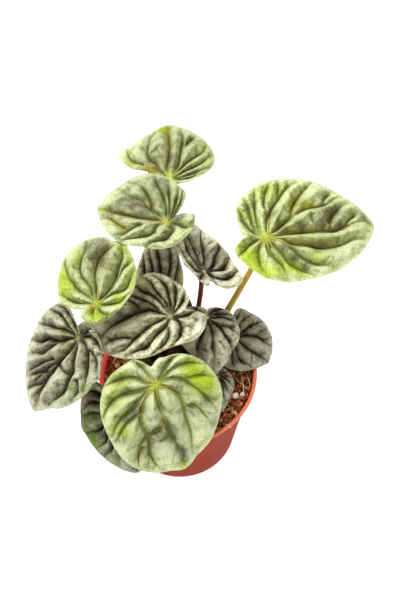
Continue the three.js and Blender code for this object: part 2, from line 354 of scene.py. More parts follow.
def pot_finish():
    """Thin matte plastic, dusty and scuffed on the wall, with a painted highlight and painted
    glow on the lip and painted shade inside.
    """
    # The emission strength serves only the painted glow on the lip.
    f = Finish("pot_terracotta_plastic", Specular_IOR_Level=0.06, Emission_Strength=0.6)
    lip = f.mark("lip")
    inner_shade = f.mark("inside")
    cloud = f.clouds(26, 3, 0.6)
    fine = f.clouds(900, 2, 0.6)
    scuff = f.clouds(420, 4, 0.7, place=f.stretched(1, 1, 0.08))
    dust = f.clouds(1500, 3, 0.75)
    colour = f.mix(cloud, tint(140, 50, 32), tint(162, 54, 28))
    colour = f.mix(f.mark("collar"), colour, tint(128, 48, 34))
    # Painted shade: the inside of the pot is darkened.
    colour = f.mix(inner_shade * 0.8, colour, tint(112, 40, 28))
    across = f.node("ShaderNodeSeparateXYZ", {}, {0: f.place})
    # Painted highlight: the lip is painted far paler than the wall, and pinker on its left, where
    # the leaves shade it.
    lip_highlight = f.mix(across.band(-0.04, 0.0), tint(255, 128, 122), tint(246, 138, 104))
    colour = f.mix(lip, colour, lip_highlight)
    # Painted glow: the left of the lip gives off a pink light of its own, where the leaves shade
    # it.
    through = lip * across.band(-0.046, -0.02, 1.0, 0.0)
    f.paint(Emission_Color=f.mix(through, (0.0, 0.0, 0.0), tint(214, 70, 66)))
    colour = f.mix(scuff.band(0.62, 0.8, 0.0, 0.3), colour, tint(222, 150, 124))
    colour = f.mix(dust.band(0.7, 0.78, 0.0, 0.45), colour, tint(120, 62, 44))
    colour = f.dimmed(colour, 0.94 + fine * 0.12)
    f.paint(Base_Color=colour, Roughness=0.62 + (scuff - 0.5) * 0.25)
    f.relief(fine * 0.7 + scuff * 0.3, 0.15, 0.0003)
    return f.material


# ---------------------------------------------------------------- leaves

# Each leaf in millimetres and degrees, in the same terms as the frame: its hub, the
# way it points, its length from hub to tip, its margin radii at 30, 60, 90, 120 and 150
# degrees on either side of the tip, its notch, how it curves, and its stalk's radius, foot
# and bend. The turn of a right-hand vein or angle is negative.
# bumps: where the margin bulges, how wide and how far. soft: how high the pillows are.
# crisp: how strongly the painted light and painted shade on their two sides differ.
# fade: how soon the vein cords thin out and dull.
# tone: how bright the leaf is, and by how much more on its left. veins: the x and y of each
# vein's points, in the leaf's plane. lime and ochre: x, y, spread and strength of each patch
# of that colour; dusk: the same for each patch of painted shade.
LEAVES = {}


def leaf_facts(name, **facts):
    LEAVES[name] = facts


leaf_facts(
    "front", hub=(-12, -30, 125), heading=-65, pitch=-45, roll=1, length=58,
    left=(51, 44, 34, 25, 18), right=(55, 43, 36, 30, 24), bumps=((12, 6, -1), (-8, 6, -1)),
    notch=13, notch_at=178, droop=7, camber=6, crisp=1.5, tone=(1.18, 0), stalk=1.9,
    base=(262, 40), via=(-6, -8, 112),
    veins=(
        (0, 0, 6, -1.5, 14, -2, 24, -2, 32, -1.5, 38, 0, 44, 0.5, 49, 2.5, 54, 1),
        (0, 0, 4, 5, 9, 9, 13, 11, 18, 12, 24, 11, 30, 11, 37, 11, 43, 10, 49, 8.5),
        (18, 12, 20, 14, 21, 17, 24, 20, 29, 22, 34, 24, 40, 25),
        (0, 0, -1, 6, 0, 11, 3, 16, 8, 20, 14, 24, 20, 27, 27, 30, 33, 31),
        (3, 16, 3, 20, 4, 25, 6, 30, 9, 34), (0, 0, -3, 6, -6, 13, -6, 20, -4, 26, -1, 31),
        (0, 0, -5, 5, -9, 9, -12, 14, -13, 19),
        (0, 0, 5, -8, 9, -12, 13, -14, 18, -16, 24, -16, 28.5, -15),
        (33, -14, 37, -16.5, 43, -17, 49, -16, 54, -13), (34, -18, 37, -22, 42, -25, 48, -26),
        (26, -3, 27, -8, 28, -12, 28.5, -15), (35, -2, 34, -7, 35, -12),
        (13, -14, 14, -19, 16, -24, 19, -28, 23, -32),
        (0, 0, 2, -7, 6, -14, 9, -20, 12, -26, 16, -31, 21, -35),
        (0, 0, 0, -6, -1, -13, -2, -19, -1, -26, 3, -32, 8, -36),
        (0, 0, -3, -5, -8, -9, -11, -14, -12, -20, -11, -27), (0, 0, -6, -2, -12, -4, -17, -7),
    ),
    lime=(
        (7, 27, 9, 0.9), (-3, 23, 7, 0.8), (14, 30, 7, 0.6), (-12, -20, 6, 0.7),
        (-2, -28, 8, 0.6), (17, -32, 6, 0.6), (46, 19, 5, 0.4), (55, 0, 3, 0.8),
        (22, -26, 5, 0.5),
    ),
    dusk=(
        (24, -6, 24, 0.3), (14, -24, 3, 0.8), (11.6, -19, 3, 0.9), (10, -14, 3, 0.8),
        (27.5, -10, 3.5, 0.9), (28.7, -2, 4, 1), (33, -4, 3, 0.8), (31, -14.5, 4, 0.9),
        (35.5, -2, 3, 1), (48.5, 1.7, 3.5, 1), (44.6, 1, 3, 0.9), (5.4, 11.3, 4, 0.8),
        (21.7, 27.5, 4, 0.9), (22, 15, 3, 0.8), (14, -2.3, 2.5, 0.8), (-13, -21, 3.5, 0.8),
        (-3.3, -19.3, 3.5, 0.7), (-1, -29, 3.5, 0.6), (24.4, -31, 4, 0.5), (38.7, -17, 4, 0.5),
        (53, 2, 2.5, 0.8), (38, 28, 4, 0.5),
    ),
    ochre=((38, -22, 5, 0.5), (13, 5, 3, 0.3), (50, 10, 3, 0.3), (30, 9, 3, 0.3)),
)
leaf_facts(
    "right", hub=(55, 48, 170), heading=9, pitch=2, roll=1, length=67, left=(60, 57, 43, 28, 17),
    right=(53, 39, 32, 26, 23.5), bumps=((20, 8, -1.2),), notch=13, notch_at=176, droop=8,
    camber=6, crisp=1.05, fade=1.7, tone=(1.16, 0), stalk=2.2, base=(32, 15), via=(39.7, 47, 104),
    veins=(
        (0, 0, 7, -0.5, 15, -1, 24, -1.5, 33, -2, 42, -2, 49, 0, 56, 3, 63, 4),
        (0, 0, 4, 2, 9, 5, 14, 8, 18, 11, 19, 15, 21, 20, 24, 25, 29, 31, 34, 36, 38, 41),
        (18, 11, 23, 14, 29, 17, 36, 18), (41, 21, 44, 26, 50, 31), (30, 3, 31, 8, 30, 12),
        (40, 0, 42, 5, 45, 10, 49, 14), (50, 2, 56, 7, 62, 11),
        (0, 0, 2, 4, 3, 9, 5, 15, 9, 22, 14, 29, 18, 35, 24, 41, 30, 45),
        (0, 0, -2, 5, -3, 12, -2.5, 20, -1, 30, 1, 40), (4, 17, 4, 25, 6, 33, 9, 40, 13, 46),
        (14, 29, 15, 35, 17, 41, 17, 46), (0, 0, -4, 4, -6, 10, -6, 17, -6, 22),
        (0, 0, -5, 3, -9, 8, -11, 14, -12, 20),
        (0, 0, 5, -2, 9, -4, 13, -8, 18, -10, 24, -11, 30, -13, 37, -14, 44, -13, 51, -11),
        (13, -8, 15, -14, 19, -20, 25, -24, 30, -26),
        (0, 0, 2, -5, 5, -11, 8, -16, 10, -21, 14, -25, 19, -29, 22, -31),
        (0, 0, 0, -6, 1, -13, 3, -18, 6, -23, 7, -29),
        (0, 0, -3, -4, -6, -9, -7, -15, -7, -21, -5, -27), (0, 0, -6, -2, -12, -6, -16, -10),
    ),
    lime=(
        (-16, -9, 5, 0.8), (-13, -16, 5, 1), (-9, -23, 5, 1), (-6, -27, 4, 0.9),
        (-9, -14, 5, 0.7), (6, -18, 4, 0.6), (11, -25, 4, 1), (15, -28.5, 4, 0.7),
        (2, -27, 4, 0.9), (4.7, 36, 8, 0.4), (14, 40, 8, 0.4), (20, 22, 4, 0.3), (66, 0, 3, 0.6),
        (28, -19, 5, 0.5), (-8, 18, 6, 0.4), (30, 20, 5, 0.4), (20, 0, 40, 0.14),
    ),
    dusk=(
        (30, 0, 26, 0.2), (42, 10, 6, 0.8), (36.5, 6, 4, 0.6), (64, 8, 3, 0.9), (66, 2, 2.5, 0.9),
        (3, -4, 2.5, 0.8), (9.6, -11, 3.5, 1), (14.3, -18, 3.5, 1), (19, -25.5, 3, 0.9),
        (9.6, 3.5, 3, 0.6), (22, 3.5, 3.5, 0.8), (34, 2, 3, 0.7), (46.4, 1, 3, 0.8),
        (29, -14.7, 4, 0.5), (8.8, 14.7, 3.5, 0.5), (48, 14, 5, 0.5),
    ),
    ochre=(
        (20, 16, 3, 0.7), (23, 22, 3, 0.9), (26, 27, 3, 0.6), (31, 20, 4, 0.4),
        (49.6, -0.7, 3.5, 0.5), (20, -5.4, 4, 0.3), (58, -1, 3, 0.4), (26, 2, 3, 0.4),
    ),
)
leaf_facts(
    "upper", hub=(-6, 55, 176), heading=166, pitch=2, roll=-7, length=43,
    left=(34.5, 23.5, 19, 18, 17), right=(42.3, 42.5, 30, 21.5, 18.3), notch=7.5, notch_at=-128,
    droop=5, camber=4, lobe=4, soft=0.65, crisp=1.2, fade=3.4, tone=(0.96, 0), stalk=1.8,
    base=(98, 35), via=(-3, 52, 118),
    veins=(
        (0, 0, 5, 0.5, 10, 1.2, 16, 1.5, 22, 1.5, 28, 1, 34, 0.5, 39, 0),
        (0, 0, 3, 2, 5, 6, 5, 9, 8, 12, 13, 14, 18, 16, 22, 18), (12, 5, 17, 8, 21, 12, 24, 16),
        (21, 11, 27, 9, 33, 6), (0, 0, -3, 2, -6, 5, -5, 9, -3, 12, 1, 14, 4, 16),
        (0, 0, -4, 0, -9, 1, -13, 2, -16, 1),
        (0, 0, 5, -3, 10, -6, 12, -10, 15, -15, 19, -20, 24, -24, 30, -25),
        (6, -1, 10, -4, 15, -8, 18, -11, 22, -12, 30, -14, 36, -18),
        (0, 0, 1, -6, 3, -11, 6, -17, 10, -23, 14, -29, 17, -34),
        (0, 0, -0.5, -6, 1, -12, 3, -19, 5, -26, 8, -33),
        (0, 0, -2, -6, -2.5, -12, -2, -19, -1, -26), (0, 0, -3, -5, -4, -10, -5, -16, -4, -23),
    ),
    lime=((42, -0.5, 2, 1), (-12, 8, 5, 0.3), (33, 8, 3, 0.4)),
    dusk=(
        (14, -12, 20, 0.4), (31, -7, 3.5, 0.9), (26, -8, 3.5, 1), (21, -7, 3.5, 0.9),
        (15, -5, 3, 0.7), (-6, -5.5, 4, 1), (-3.5, 2.5, 3, 0.9), (-2, 9, 3, 0.6),
        (12.5, -30.7, 5, 0.5), (7, -22.8, 4, 0.5), (34, 1, 2.5, 0.5),
    ),
    ochre=(
        (39, 1.4, 2.5, 0.6), (34, 2.5, 2.5, 0.7), (28, 3, 2.5, 0.5), (21, 2.5, 2.5, 0.4),
        (30, 8, 2.5, 0.7), (26, 10.5, 3, 1), (23, 12, 2.5, 1), (0, -10, 2.5, 0.4),
        (12, -13, 3, 0.3), (10, 3, 3, 0.3),
    ),
)
leaf_facts(
    "top", hub=(-5, 104, 163), heading=92, pitch=8, roll=-6, length=41, left=(41, 33, 12, 11, 10),
    right=(38.7, 33.8, 20, 12, 8.5),
    bumps=((50, 9, 11), (72, 7, -8.5), (19, 9, -2), (41, 6, 1.5)), notch=5, notch_at=165, droop=3,
    camber=3, soft=0.7, crisp=0.9, fade=3.4, tone=(1.07, 0), stalk=1.8, base=(84, 10),
    via=(0, 82, 96),
    veins=(
        (0, 0, 5, 1.5, 10, 1, 16, 0, 22, -0.5, 28, 0, 34, 0.5, 40, 1),
        (0, 0, 1, 3, 5, 7, 10, 9, 14, 13, 20, 15, 26, 14.5, 32, 13, 36, 10),
        (20, 13, 21, 10, 24, 6), (10, 16, 14, 20, 18, 25, 24, 29, 30, 30),
        (0, 0, 4, -4, 8, -6, 14, -7, 20, -8, 26, -9, 32, -9, 37, -8),
        (0, 0, 3, -5, 7, -9, 11, -13, 16, -18, 20, -22, 25, -24), (22, -10, 27, -13, 31, -17),
        (0, 0, 0, -5, 3, -10, 6, -15, 11, -21, 16, -25), (0, 0, -2, -6, 0, -12, 3, -18, 7, -24),
        (0, 0, -3, -5, -3, -10, -1, -15, 2, -20),
    ),
    lime=(
        (37, 4.2, 4, 1), (31, 1.5, 3, 0.3), (18, 33, 5, 0.6), (12, 29, 5, 0.5), (10, -24, 5, 0.4),
        (24, -22, 5, 0.4), (4, 24, 5, 0.4),
    ),
    dusk=(
        (18, 2, 24, 0.45), (12.9, -2.1, 4, 0.6), (27.8, -13.9, 4, 0.6), (22, 8.5, 3, 0.5),
        (14, 12, 4, 0.3),
    ),
    ochre=(
        (8, 17, 4, 1), (6.5, 13.4, 3.5, 1), (4.6, 10, 3.5, 1), (9.7, 21.4, 3, 0.6),
        (39, 0.8, 2.5, 0.9), (35, 0.2, 2.5, 0.9), (30, 0.3, 2.5, 0.9), (24, 0, 2.5, 0.9),
        (18, 0.5, 2.5, 0.8), (18.2, 26, 3, 0.9), (12, 1, 2.5, 0.6), (15, 8, 3, 0.3),
    ),
)
leaf_facts(
    "left_high", hub=(-48, 11, 152), heading=63, pitch=30, roll=-3, length=40,
    left=(42, 40, 30, 23, 13), right=(31, 20, 14, 12, 12), bumps=((10, 6, -1.5), (126, 6, 3.5)),
    notch=8, notch_at=133, droop=3, camber=3, soft=0.85, crisp=1.3, fade=2.2, tone=(1.04, 0),
    stalk=1.8, base=(160, 42), via=(-50, 46, 112),
    veins=(
        (0, 0, 6, -3, 12, -5, 20, -5, 27, -4, 33, -3, 38, 0),
        (12, -6, 20, -6.5, 26, -7, 30, -9, 34, -10),
        (0, 0, 3, 1, 9, 4, 15, 8, 22, 10, 29, 9, 34, 6),
        (0, 0, 1, 2, 6, 6, 9, 11, 11, 16, 15, 20, 20, 22, 26, 22),
        (0, 0, 1, 5, 2, 10, 3, 15, 5, 20, 8, 26, 13, 31, 17, 33),
        (0, 0, -2, 5, -4, 10, -5, 15, -4.5, 20),
        (0, 0, 4, -3, 9, -7, 13, -12, 18, -14, 26, -13.5), (0, 0, 1, -5, 4, -10, 7, -14, 12, -16),
        (0, 0, -2, -2, -4, -6, -3, -10), (0, 0, -3, 0, -6, 0, -9, -3),
    ),
    lime=(
        (7.2, 30.6, 6, 0.9), (0.2, 22.8, 6, 0.9), (22, 25, 5, 0.6), (8, -12.7, 4, 0.9),
        (-4.9, -10.2, 3, 0.6), (-6, -4, 3.5, 0.9), (38, 1, 3, 0.9), (20, -15, 4, 0.6),
        (33, -7, 4, 0.5), (-9, -2, 4, 0.6), (27, -14, 4, 0.5), (14, 8, 26, 0.12),
    ),
    dusk=(
        (20, 8, 18, 0.35), (33.9, 13.7, 6, 1), (27, 14, 5, 0.8), (25, 7, 4, 0.6),
        (-4.9, -10.2, 3, 0.8), (3.1, -0.7, 3, 0.9), (30, 22, 4, 0.6),
    ),
    ochre=((-3.3, 2.1, 2.5, 0.9), (25, 7, 5, 0.6), (-6, 1, 3, 0.6), (37, -3, 3, 0.5)),
)
leaf_facts(
    "left_low", hub=(-62, 3, 125), heading=-134, pitch=-38, roll=15, length=56,
    left=(44, 35, 28, 21.5, 15.5), right=(52, 48, 37, 24.5, 10), bumps=((14, 8, -3), (78, 8, 3)),
    notch=6.5, notch_at=-138, droop=5, camber=4, tone=(1.07, 0), stalk=1.8, base=(182, 20),
    via=(-40, 10, 122),
    veins=(
        (0, 0, 5, 0.5, 10, 1, 16, 0, 21, -1, 27, -1.5, 33, -3, 38, -3, 44, -3, 50, -1, 55, 0),
        (0, 0, 3, 1, 6, 5, 10, 8, 14, 10, 17, 13, 21, 13, 26, 14, 31, 15, 37, 13, 43, 10),
        (18, 13, 21, 10, 22, 6, 21, 1), (0, 0, -1, 6, 0, 12, 3, 17, 7, 20, 12, 23, 18, 26),
        (18, 18, 21, 21, 25, 24, 31, 24), (0, 12, -1, 18, 1, 24, 5, 28),
        (0, 0, -4, 4, -7, 9, -8, 15, -7, 21, -4, 26), (0, 0, -6, 3, -10, 6, -11, 9),
        (0, 0, -4, 0, -8, 1), (0, 0, 4, -5, 9, -9, 13, -15, 16, -22, 21, -26, 24, -30, 27, -37),
        (9, -9, 15, -13, 21, -16, 26, -19, 29, -24, 34, -30), (20, -2, 23, -8, 28, -13),
        (29, -3, 33, -8, 38, -14, 43, -18), (38, -4, 42, -7, 47, -12, 52, -14),
        (0, 0, 1, -6, 3, -13, 6, -19, 9, -25, 12, -32, 15, -38),
        (0, 0, 0, -8, -1, -16, -1, -24, 1, -32),
        (0, 0, -3, -5, -5, -11, -6, -18, -6, -25, -4, -31),
    ),
    lime=(
        (20, 0, 34, 0.12), (19, 28, 4, 0.5), (-3, -15, 3, 0.3), (5, -12, 3, 0.3),
        (35, 20, 5, 0.3), (25, 19, 4, 0.3),
    ),
    dusk=(
        (36, -12, 9, 0.4), (20, -14, 8, 0.3), (2, 14, 3, 0.9), (-3, 4, 4, 0.9), (20, -1, 4, 0.8),
        (35, -3, 5, 0.8), (30, -8, 5, 0.4), (9, 21, 3, 0.7), (33, 12, 3, 0.6), (20, 10, 3, 0.6),
        (8, -8, 4, 0.8), (14, -17, 4, 0.6), (20, -26, 4, 0.6),
    ),
)
leaf_facts(
    "centre", hub=(-4, 10, 140), heading=-160, pitch=-12, roll=-22, length=47,
    left=(33, 21, 19, 22, 23), right=(38, 34, 30, 22, 17), bumps=((-17, 10, 8), (-140, 12, 1.5)),
    notch=11, notch_at=180, droop=5, camber=3, tone=(1.54, 0.2), stalk=1.9, base=(170, 70),
    via=(-5, 12, 112),
    veins=(
        (0, 0, 5, 0.5, 10, 0.5, 15, 1.5, 20, 3, 25, 4.5, 30, 6.5, 34, 8, 39, 8, 44, 7),
        (26, 4.5, 30, 2, 35, 0, 40, -0.5, 45, 0.5),
        (0, 0, 3, 4, 6, 6, 11, 7.5, 16, 10, 21, 12.5, 27, 12, 32, 12.5, 35, 13),
        (21, 12.5, 21, 15, 22, 17), (33, 8, 34, 11, 37, 12.5),
        (3, 4, 4, 7, 5, 11, 8, 14, 12, 16, 17, 17), (0, 0, -3, 4, -4, 8, -2.5, 12, 0, 15, 4, 17),
        (-4, 9, -8, 11, -10, 14, -10, 17), (0, 0, -5, 3, -10, 4, -15, 4),
        (-12, 6, -14, 9, -15, 12),
        (0, 0, 5, -4, 10, -8, 15, -9, 20, -9.5, 26, -9.5, 32, -9, 38, -8, 44, -5),
        (15, -9, 16, -13, 18, -17, 21, -20), (0, 0, 1, -6, 3, -12, 6, -17, 10, -21, 13, -26),
        (3, -3, 6, -8, 9, -13, 14, -18, 17, -21), (0, 0, -1, -6, 0, -12, 2, -18, 3, -24, 6, -29),
        (0, 0, -3, -5, -4, -11, -5, -17, -3, -23, 0, -28),
        (0, 0, -5, -4, -8, -9, -10, -14, -10, -19), (0, 0, -6, -2, -11, -5, -14, -9),
    ),
    lime=((8, 0, 30, 0.1),),
    dusk=(
        (10, -9, 4, 0.9), (18, -13, 4, 0.8), (28, -12, 4, 0.8), (6, 5, 2.5, 0.7),
        (-4, 8, 2.5, 0.6), (2, -15, 3, 0.7), (8, -21, 4, 0.7), (-7, -14, 4, 0.6),
        (5, 10, 2.5, 0.5), (36, -11, 4, 0.5), (12, -14, 3, 0.7), (-17, 0, 5, 0.6),
        (-20, 8, 5, 0.5), (-10.5, 7, 4, 0.5),
    ),
)
leaf_facts(
    "low_mid", hub=(19, 21, 121), heading=-81, pitch=-26, roll=-16, length=35,
    left=(28, 25, 18, 11, 7), right=(27, 24, 21, 15, 8), notch=4, notch_at=180, droop=3, camber=3,
    tone=(1.25, 0), stalk=1.6, base=(42, 42), via=(13, 17, 104),
    veins=(
        (0, 0, 5, 1, 10, 2, 15, 2, 20, 1, 25, 1.5, 31, 0),
        (0, 0, 5, 5, 9, 9, 13, 11, 18, 14, 23, 14.5, 27, 12), (16, 4, 18, 7, 22, 9, 26, 8.5),
        (26, 1, 28, 3.5, 31, 4, 33, 2), (7, 7, 7, 11, 9, 16, 12, 19),
        (0, 0, 1, 5, 1, 10, 3, 16, 5, 19), (0, 0, -1, 5, -1, 10, 0, 15),
        (0, 0, -3, 4, -4, 9, -4, 13), (0, 0, 8, -3, 13, -6, 18, -9, 23, -10),
        (19, -8, 21, -5, 24, -3), (26, -1, 29, -2, 32, -2.5), (0, 0, 5, -6, 9, -12, 12, -18),
        (0, 0, 2, -7, 4, -14, 5, -20), (0, 0, -2, -6, -3, -13, -1, -19), (0, 0, -4, -5, -7, -9),
    ),
    dusk=(
        (10, 2, 4, 1), (16, -7, 5, 1), (5, 5, 2.5, 0.9), (19, 1.5, 2.5, 0.8), (7, 9, 2.5, 0.7),
        (0, 8, 3, 0.4), (24, -8, 4, 0.5),
    ),
)
leaf_facts(
    "low_right", hub=(39, 16, 103), heading=-24, pitch=-33, roll=10, length=27,
    left=(28, 25, 21, 20, 12), right=(23, 21, 20, 16, 12), notch=5, notch_at=180, droop=3,
    camber=3, tone=(0.86, 0), stalk=1.6, base=(8, 20), via=(22, 6, 98),
    veins=(
        (0, 0, 6, -1.5, 12, -1.5, 18, -0.5, 24, 0), (0, 0, 3, 4, 7, 7, 11, 9, 16, 10, 21, 10),
        (16, 10, 19, 13, 21, 16), (10, 9, 12, 14, 15, 18), (0, 0, 1, 5, 3, 10, 5, 14, 8, 18),
        (0, 0, -2, 4, -3, 9, -2, 14, 0, 18), (0, 0, -4, 3, -7, 8, -7, 13),
        (0, 0, 2, -5, 6, -9, 11, -11, 16, -10), (14, -2, 15, -5, 17, -8),
        (0, 0, 1, -6, 3, -11, 6, -15, 9, -17), (0, 0, -3, -6, -4, -11, -2, -16),
        (0, 0, -5, -3, -8, -6),
    ),
    dusk=(
        (8, -1.5, 4, 0.9), (8, 7, 3, 0.8), (2, 6, 3, 0.8), (8, -11, 4, 0.8), (20, -0.5, 3, 0.6),
        (13, 14, 2.5, 0.5), (4, 13, 2.5, 0.6), (5, -17, 4, 0.6), (17, 10, 2.5, 0.5),
    ),
)
leaf_facts(
    "back_right", hub=(17, 33, 155), heading=110, pitch=14, roll=27, length=36,
    left=(28, 20, 13, 10, 10), right=(26, 21, 20, 24, 17), notch=5, notch_at=-172, droop=3,
    camber=-3, tone=(1.32, 0), stalk=1.85, base=(72, 48), via=(21, 41, 113),
    veins=(
        (0, 0, 5, 1, 10, 2, 16, 2, 22, 2, 28, 2, 33, 1),
        (0, -1, 6, -2.5, 12, -4, 18, -5.5, 24, -7.5, 29, -9),
        (0, 0, 3, 3.5, 6, 5, 9, 7, 14, 8, 19, 7), (0, 0, 0, 7, 3, 10, 7, 12.5, 11, 13, 16, 15),
        (0, 0, -4, 4, -6, 8), (0, -2, 1, -6, 4, -9, 8, -11, 12, -15, 15, -17),
        (0, -2, -1, -8, -1, -13, 1, -16, 4, -18), (0, -2, -6, -7, -8, -12, -7, -17, -5, -20),
        (0, -1.5, -5, -4, -9, -5), (8, -4, 12, -9, 14, -12), (14, -5, 17, -9, 18, -13),
        (20, -6, 22, -10),
    ),
    dusk=(
        (3, 3, 3, 0.8), (4, 11, 3, 0.8), (-4, 2, 3, 0.9), (-7, -13, 2.5, 0.9), (14, 8, 2.5, 0.7),
        (0, -13, 2, 0.6), (22, 1.5, 4, 0.6), (8, -3.5, 3, 0.5), (5, -9, 5, 0.5), (9, -14, 5, 0.6),
        (2, -6, 2, 0.5),
    ),
)
leaf_facts(
    "back_upright", hub=(-11, 35, 130), heading=84, pitch=68, roll=8, length=42,
    left=(26, 18, 15, 13, 11), right=(25, 17, 14, 12, 11), notch=4, notch_at=180, droop=2,
    camber=5, tone=(1.2, 0), stalk=1.6, base=(125, 25), via=(-14, 34, 104),
    veins=(
        (0, 0, 8, -1, 16, 0, 24, 1, 32, 2.5, 38, 2), (0, 0, 5, 3, 12, 4.5, 20, 5.5, 28, 7, 35, 7),
        (0, 0, 3, 5, 9, 9, 16, 10, 24, 10.5), (0, 0, 5, -3, 12, -5, 20, -6, 28, -6, 35, -4),
        (0, 0, 3, -5, 8, -9, 14, -10, 20, -11, 26, -10), (0, 0, -2, -5, -2, -9, 0, -12),
        (0, 0, -3, 5, -4, 9, -3, 12),
    ),
    lime=((5, -13, 3.5, 0.8), (14, -12, 2.5, 0.5), (32, 4, 2.5, 0.5)),
    dusk=((18, 0, 4, 1), (27, 1, 4, 1), (28, -5, 3, 0.7), (22, -10, 3, 0.5)),
)
leaf_facts(
    "front_left", hub=(-35, -36, 98), heading=-73, pitch=-35, roll=34, length=38,
    left=(31, 28, 25, 22, 20), right=(36, 33, 32, 30, 26), bumps=((-78, 8, 1.5),), notch=8,
    notch_at=180, droop=4, camber=4, tone=(0.72, 0), stalk=1.7, base=(225, 15),
    via=(-16, -20, 98),
    veins=(
        (0, 0, 8, 0, 18, -1, 28, -1, 36, 0), (0, 0, 8, -4, 17, -7, 26, -9, 33, -12),
        (0, 0, 7, -6, 15, -11, 22, -14, 25, -20), (0, 0, 4, -7, 10, -13, 17, -17, 20, -25),
        (0, 0, 2, -8, 6, -15, 9, -20, 9, -28), (0, 0, -1, -8, -2, -15, -3, -22, -3, -28),
        (0, 0, -5, -7, -9, -14, -10, -21, -7, -27), (0, 0, -9, -6, -15, -12, -17, -17, -15, -22),
        (0, 0, 8, 5, 17, 8, 26, 8, 33, 5), (0, 0, 5, 8, 12, 14, 19, 16),
        (0, 0, 0, 9, 3, 16, 8, 22), (0, 0, -6, 8, -8, 15, -6, 20), (0, 0, -11, 6, -15, 9),
    ),
    lime=(
        (15, -25, 3.5, 1.3), (0, -28, 6, 0.6), (-20, -12, 4, 0.6), (33, -14, 6, 0.4),
        (8, -30, 4, 0.5), (12, -6, 24, 0.3),
    ),
    dusk=((-16, -13, 4, 1), (-12, -18, 3.5, 0.8), (10, -18, 5, 0.6), (25, -14, 2, 0.6)),
    ochre=(
        (-13.6, -31, 8, 0.7), (6, -33, 8, 0.8), (20, -33, 7, 0.8), (-23, -30, 6, 0.6),
        (0, -20, 9, 0.5), (30, -26, 6, 0.6),
    ),
)
leaf_facts(
    "low_front", hub=(26, -8.3, 94.5), heading=-83, pitch=-21, roll=-18, length=21,
    left=(15, 13, 10, 8, 7), right=(15, 13, 12, 10, 8), notch=3, notch_at=180, droop=2, camber=2,
    tone=(1.1, 0), stalk=1.3, base=(330, 15), via=(17, -6, 89.5),
)
leaf_facts(
    "young", hub=(5, 28, 113), heading=88, pitch=62, roll=-10, length=14, left=(9, 7, 6, 5, 4),
    right=(9, 6, 5, 5, 4), notch=3, notch_at=180, droop=1, camber=1, stalk=1.1, base=(100, 60),
    via=(5, 20, 103),
)
LIGHT_LEAVES = ("front", "right", "upper", "top", "left_high")
RED_STALKS = (
    "back_right", "back_upright", "centre", "low_mid", "low_right", "young", "low_front",
)

FUNNEL = 0.05  # how deep the hub is dimpled, as a share of the leaf's length
POINT = 1.5  # how far the tip is drawn out
NOTCH_SPREAD = 26.0  # how many degrees the notch takes to open to the full margin
BLADE = 0.8  # how thick a blade is
PILLOW = 7.0  # how far the pillows between the veins stand above them
CROWN_RADIUS = 8.5
CROWN_HEIGHT = 12.5
CROWN_FOOT = 82.8
SMOOTH_STEPS = 4  # how many points a drawn vein gets between two that are given

# A drawn vein that starts within BRANCH_START of the hub is a main one, and a branch less
# than SHORT_BRANCH long isn't carried on to the margin.
BRANCH_START = 4.0
SHORT_BRANCH = 11.0
# For each kind of vein: how deep its crease is, how deep and how wide the dip between the
# pillows is, and how much it fades towards its end.
CREASE = {"main": 1.0, "branch": 0.8, "short": 0.5, "side": 0.32}
DIP = {"main": 1.0, "branch": 0.85, "short": 0.5, "side": 0.22}
SPAN = {"main": 1.0, "branch": 0.9, "short": 0.6, "side": 0.5}
FADE = {"main": 0.6, "branch": 0.65, "short": 0.8, "side": 1.0}
NEAR = 14.0  # no vein reaches further than this
CORD = {"main": 0.55, "branch": 0.42, "short": 0.32}  # the radius of its cord
# How light and dark leaves differ: how high the cords lie, how wide the line in a crease is,
# how far a crease drops, how much it and the dip beside it darken the crests (the leaf's own
# darker tissue by the veins and painted shade in the valleys), and how wide the hub's pale spot
# is.
LIGHT_LOOK = dict(lift=0.75, line=0.95, drop=0.25, dark=0.48, broad=0.26, hub=2.3)
DARK_LOOK = dict(lift=0.15, line=0.9, drop=0.3, dark=0.6, broad=0.34, hub=1.4)
# Where the veins of a leaf without drawn ones leave the hub and reach the margin, in
# degrees on either side of the midrib.
VEIN_FAN = ((48, 10), (72, 30), (96, 55), (118, 84), (140, 115), (160, 146))
VEIN_REACH = 0.93
VEIN_BEND = 1.6
PAINTED_LIGHT_WAY = (-0.5, 0.8, 0.33)  # the way the painted light comes from: pillow sides facing it are painted paler, the others darker


def smooth_step(value, low, high):
    share = np.clip((value - low) / (high - low), 0, 1)
    return share * share * (3 - 2 * share)


def between(a, b, c, d, t):
    """A Catmull-Rom curve, from b where t is 0 to c where t is 1."""
    return 0.5 * (
        2 * b + (c - a) * t + (2 * a - 5 * b + 4 * c - d) * t**2 + (3 * b - a - 3 * c + d) * t**3
    )


def ring_value(values, place):
    """A closed curve through equally spaced values."""
    knot = np.floor(place).astype(int)
    return between(*(values[(knot + k) % len(values)] for k in (-1, 0, 1, 2)), place - knot)


def spline(points, steps):
    """A smooth open curve through the points."""
    p = np.array(points, float)
    p = np.vstack([2 * p[0] - p[1], p, 2 * p[-1] - p[-2]])
    out = [
        between(*p[i : i + 4], t)
        for i in range(len(p) - 3)
        for t in np.linspace(0, 1, steps, endpoint=False)
    ]
    return np.array([*out, p[-2]])


